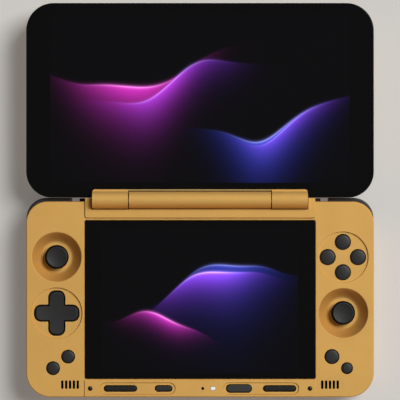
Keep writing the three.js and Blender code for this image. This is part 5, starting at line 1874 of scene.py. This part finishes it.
@dataclass
class LowerGlass:
    """The cover glass of the lower display."""

    bounds: Bounds
    top: float = 19.8
    thickness: float = 0.9
    edge: float = 0.15

    def build(self) -> None:
        """Makes the glass."""
        profile = rounded(self.top - self.thickness, self.top, 0.0, self.edge, 3)
        glass = Solid.loft(box_outline(*self.bounds, 6), profile)
        glass.piece("lower_glass", "base", LOWER_GLASS, "black_glass", "base_display_glass")


@dataclass
class InnerParts:
    """The CAD's own inner pieces, which keep their shape and get a finish."""

    finishes: dict[str, Finish] = field(
        default_factory=lambda: {
            "base_display_panel": MODULE,
            "lid_display_panel": MODULE,
            "base_frame": ALLOY,
            "lid_frame": ALLOY,
            "main_board": BOARD,
            "battery_pack": CELL,
            "heat_sink": COPPER,
            # The stick housing, gimbal and speaker get near-black painted shade, as they are seen only in
            # shade
            "stick_housing": BARE_SHADE_BLACK,
            "stick_gimbal": BARE_SHADE_BLACK,
            "cross_rocker": RUBBER,
            "speaker": BARE_SHADE_BLACK,
            "friction_cartridge": STEEL,
            "hinge_flex_roll": COPPER,
            "hinge_shaft": STEEL,
        }
    )

    def build(self) -> None:
        """Gives each CAD node that is still shown its finish, plain black where none is named."""
        for name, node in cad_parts.items():
            if node.hide_render:
                continue
            finish = next((f for start, f in self.finishes.items() if name.startswith(start)), BLACK)
            node.data.materials.clear()
            node.data.materials.append(finish.material())
            log.info("%s keeps its shape and gets %s", name, finish.name)


@dataclass
class Studio:
    """Floor, lights and camera. The floor's half width, the lights and the camera's clip are in metres."""

    floor_half: float = 4.0
    floor_patch: float = 90.0
    frame_width: float = 207.1
    focus_height: float = 20.0
    lens: float = 260.0
    sensor: float = 36.0
    clip: Pair = (0.05, 50.0)
    room_strength: float = 0.5
    room_stops: tuple[tuple[float, Triple], ...] = ((0.25, (0.2, 0.17, 0.14)), (0.95, (0.07, 0.07, 0.075)))

    def floor(self) -> None:
        """Lays the pale floor."""
        half = self.floor_half
        mesh = bpy.data.meshes.new("floor")
        square = [(-half, -half, 0), (half, -half, 0), (half, half, 0), (-half, half, 0)]
        mesh.from_pydata(square, [], [(0, 1, 2, 3)])
        uniform = {
            "Roughness": 0.8,
            "Specular IOR Level": 0.2,
            "Emission Color": (1, 1, 1, 1),
            "Emission Strength": 0.13,
        }
        paint = Paint("floor", uniform)
        tone = paint.noise(paint.place(), self.floor_patch)
        paint.feed("Base Color", paint.mix(tone, srgb(188, 188, 187), srgb(194, 194, 193)))
        mesh.materials.append(paint.made)
        shown("floor", mesh)

    @staticmethod
    def light(name: str, place: Triple, size: float, power: float, colour: Triple) -> None:
        """Hangs one soft light that faces the console.

        Args:
            name: its name.
            place: where it hangs, in metres.
            size: the side of its square, in metres.
            power: its power in watts.
            colour: its colour.
        """
        lamp = bpy.data.lights.new(name, "AREA")
        lamp.shape = "SQUARE"
        lamp.size = size
        lamp.energy = power
        lamp.color = colour
        obj = shown(name, lamp)
        obj.location = place
        obj.rotation_euler = (-Vector(place)).to_track_quat("-Z", "Y").to_euler()

    def world(self) -> None:
        """Sets the room's light: pale round the horizon and dim overhead."""
        world = bpy.data.worlds.new("room")
        bpy.context.scene.world = world
        world.use_nodes = True
        tree = Tree(world.node_tree)
        height = tree.axes(tree.node("ShaderNodeTexCoord", output="Generated"))[2]
        room = tree.node("ShaderNodeValToRGB", {"stops": self.room_stops}, {0: height})
        background = tree.tree.nodes["Background"]
        background.inputs["Strength"].default_value = self.room_strength
        tree.tree.links.new(room.socket, background.inputs["Color"])

    def camera(self) -> None:
        """Sets the camera straight above the origin, with the photograph's field of view."""
        data = bpy.data.cameras.new("camera")
        data.sensor_width = self.sensor
        data.lens = self.lens
        data.clip_start, data.clip_end = self.clip
        distance = self.frame_width * self.lens / self.sensor
        obj = shown("camera", data)
        obj.location = (0.0, 0.0, (self.focus_height + distance) * MM)
        bpy.context.scene.camera = obj

    def build(self) -> None:
        """Makes floor, world, lights and camera."""
        self.floor()
        self.world()
        self.light("key", place=(3.2, 2.24, 4.85), size=3.4, power=400.0, colour=(1.0, 0.99, 0.97))
        self.light("fill", place=(-1.6, -4.0, 3.6), size=3.0, power=20.0, colour=(1.0, 0.6, 0.36))
        self.light("front", place=(0.0, -5.0, 0.7), size=1.1, power=32.0, colour=(1.0, 0.84, 0.66))
        self.light("side", place=(4.2, 1.0, 1.1), size=1.6, power=14.0, colour=(0.8, 0.9, 1.0))
        self.camera()
        bpy.context.scene.view_settings.view_transform = "Standard"


def main() -> None:
    """Builds the console's sub-assemblies in order, then the studio."""
    logging.basicConfig(level=logging.INFO, format="%(message)s")
    sticks, buttons, strip, shoulders = Sticks(), Buttons(), FrontStrip(), Shoulders()
    shells = BaseShells(buttons, sticks, strip, shoulders)
    panels = (RearPanel(), Hinge(), Lid(), LowerGlass(shells.glass))
    for part in (shells, sticks, buttons, strip, shoulders, *panels, InnerParts(), Studio()):
        log.info("%s", type(part).__name__)
        part.build()


if __name__ == "__main__":
    main()
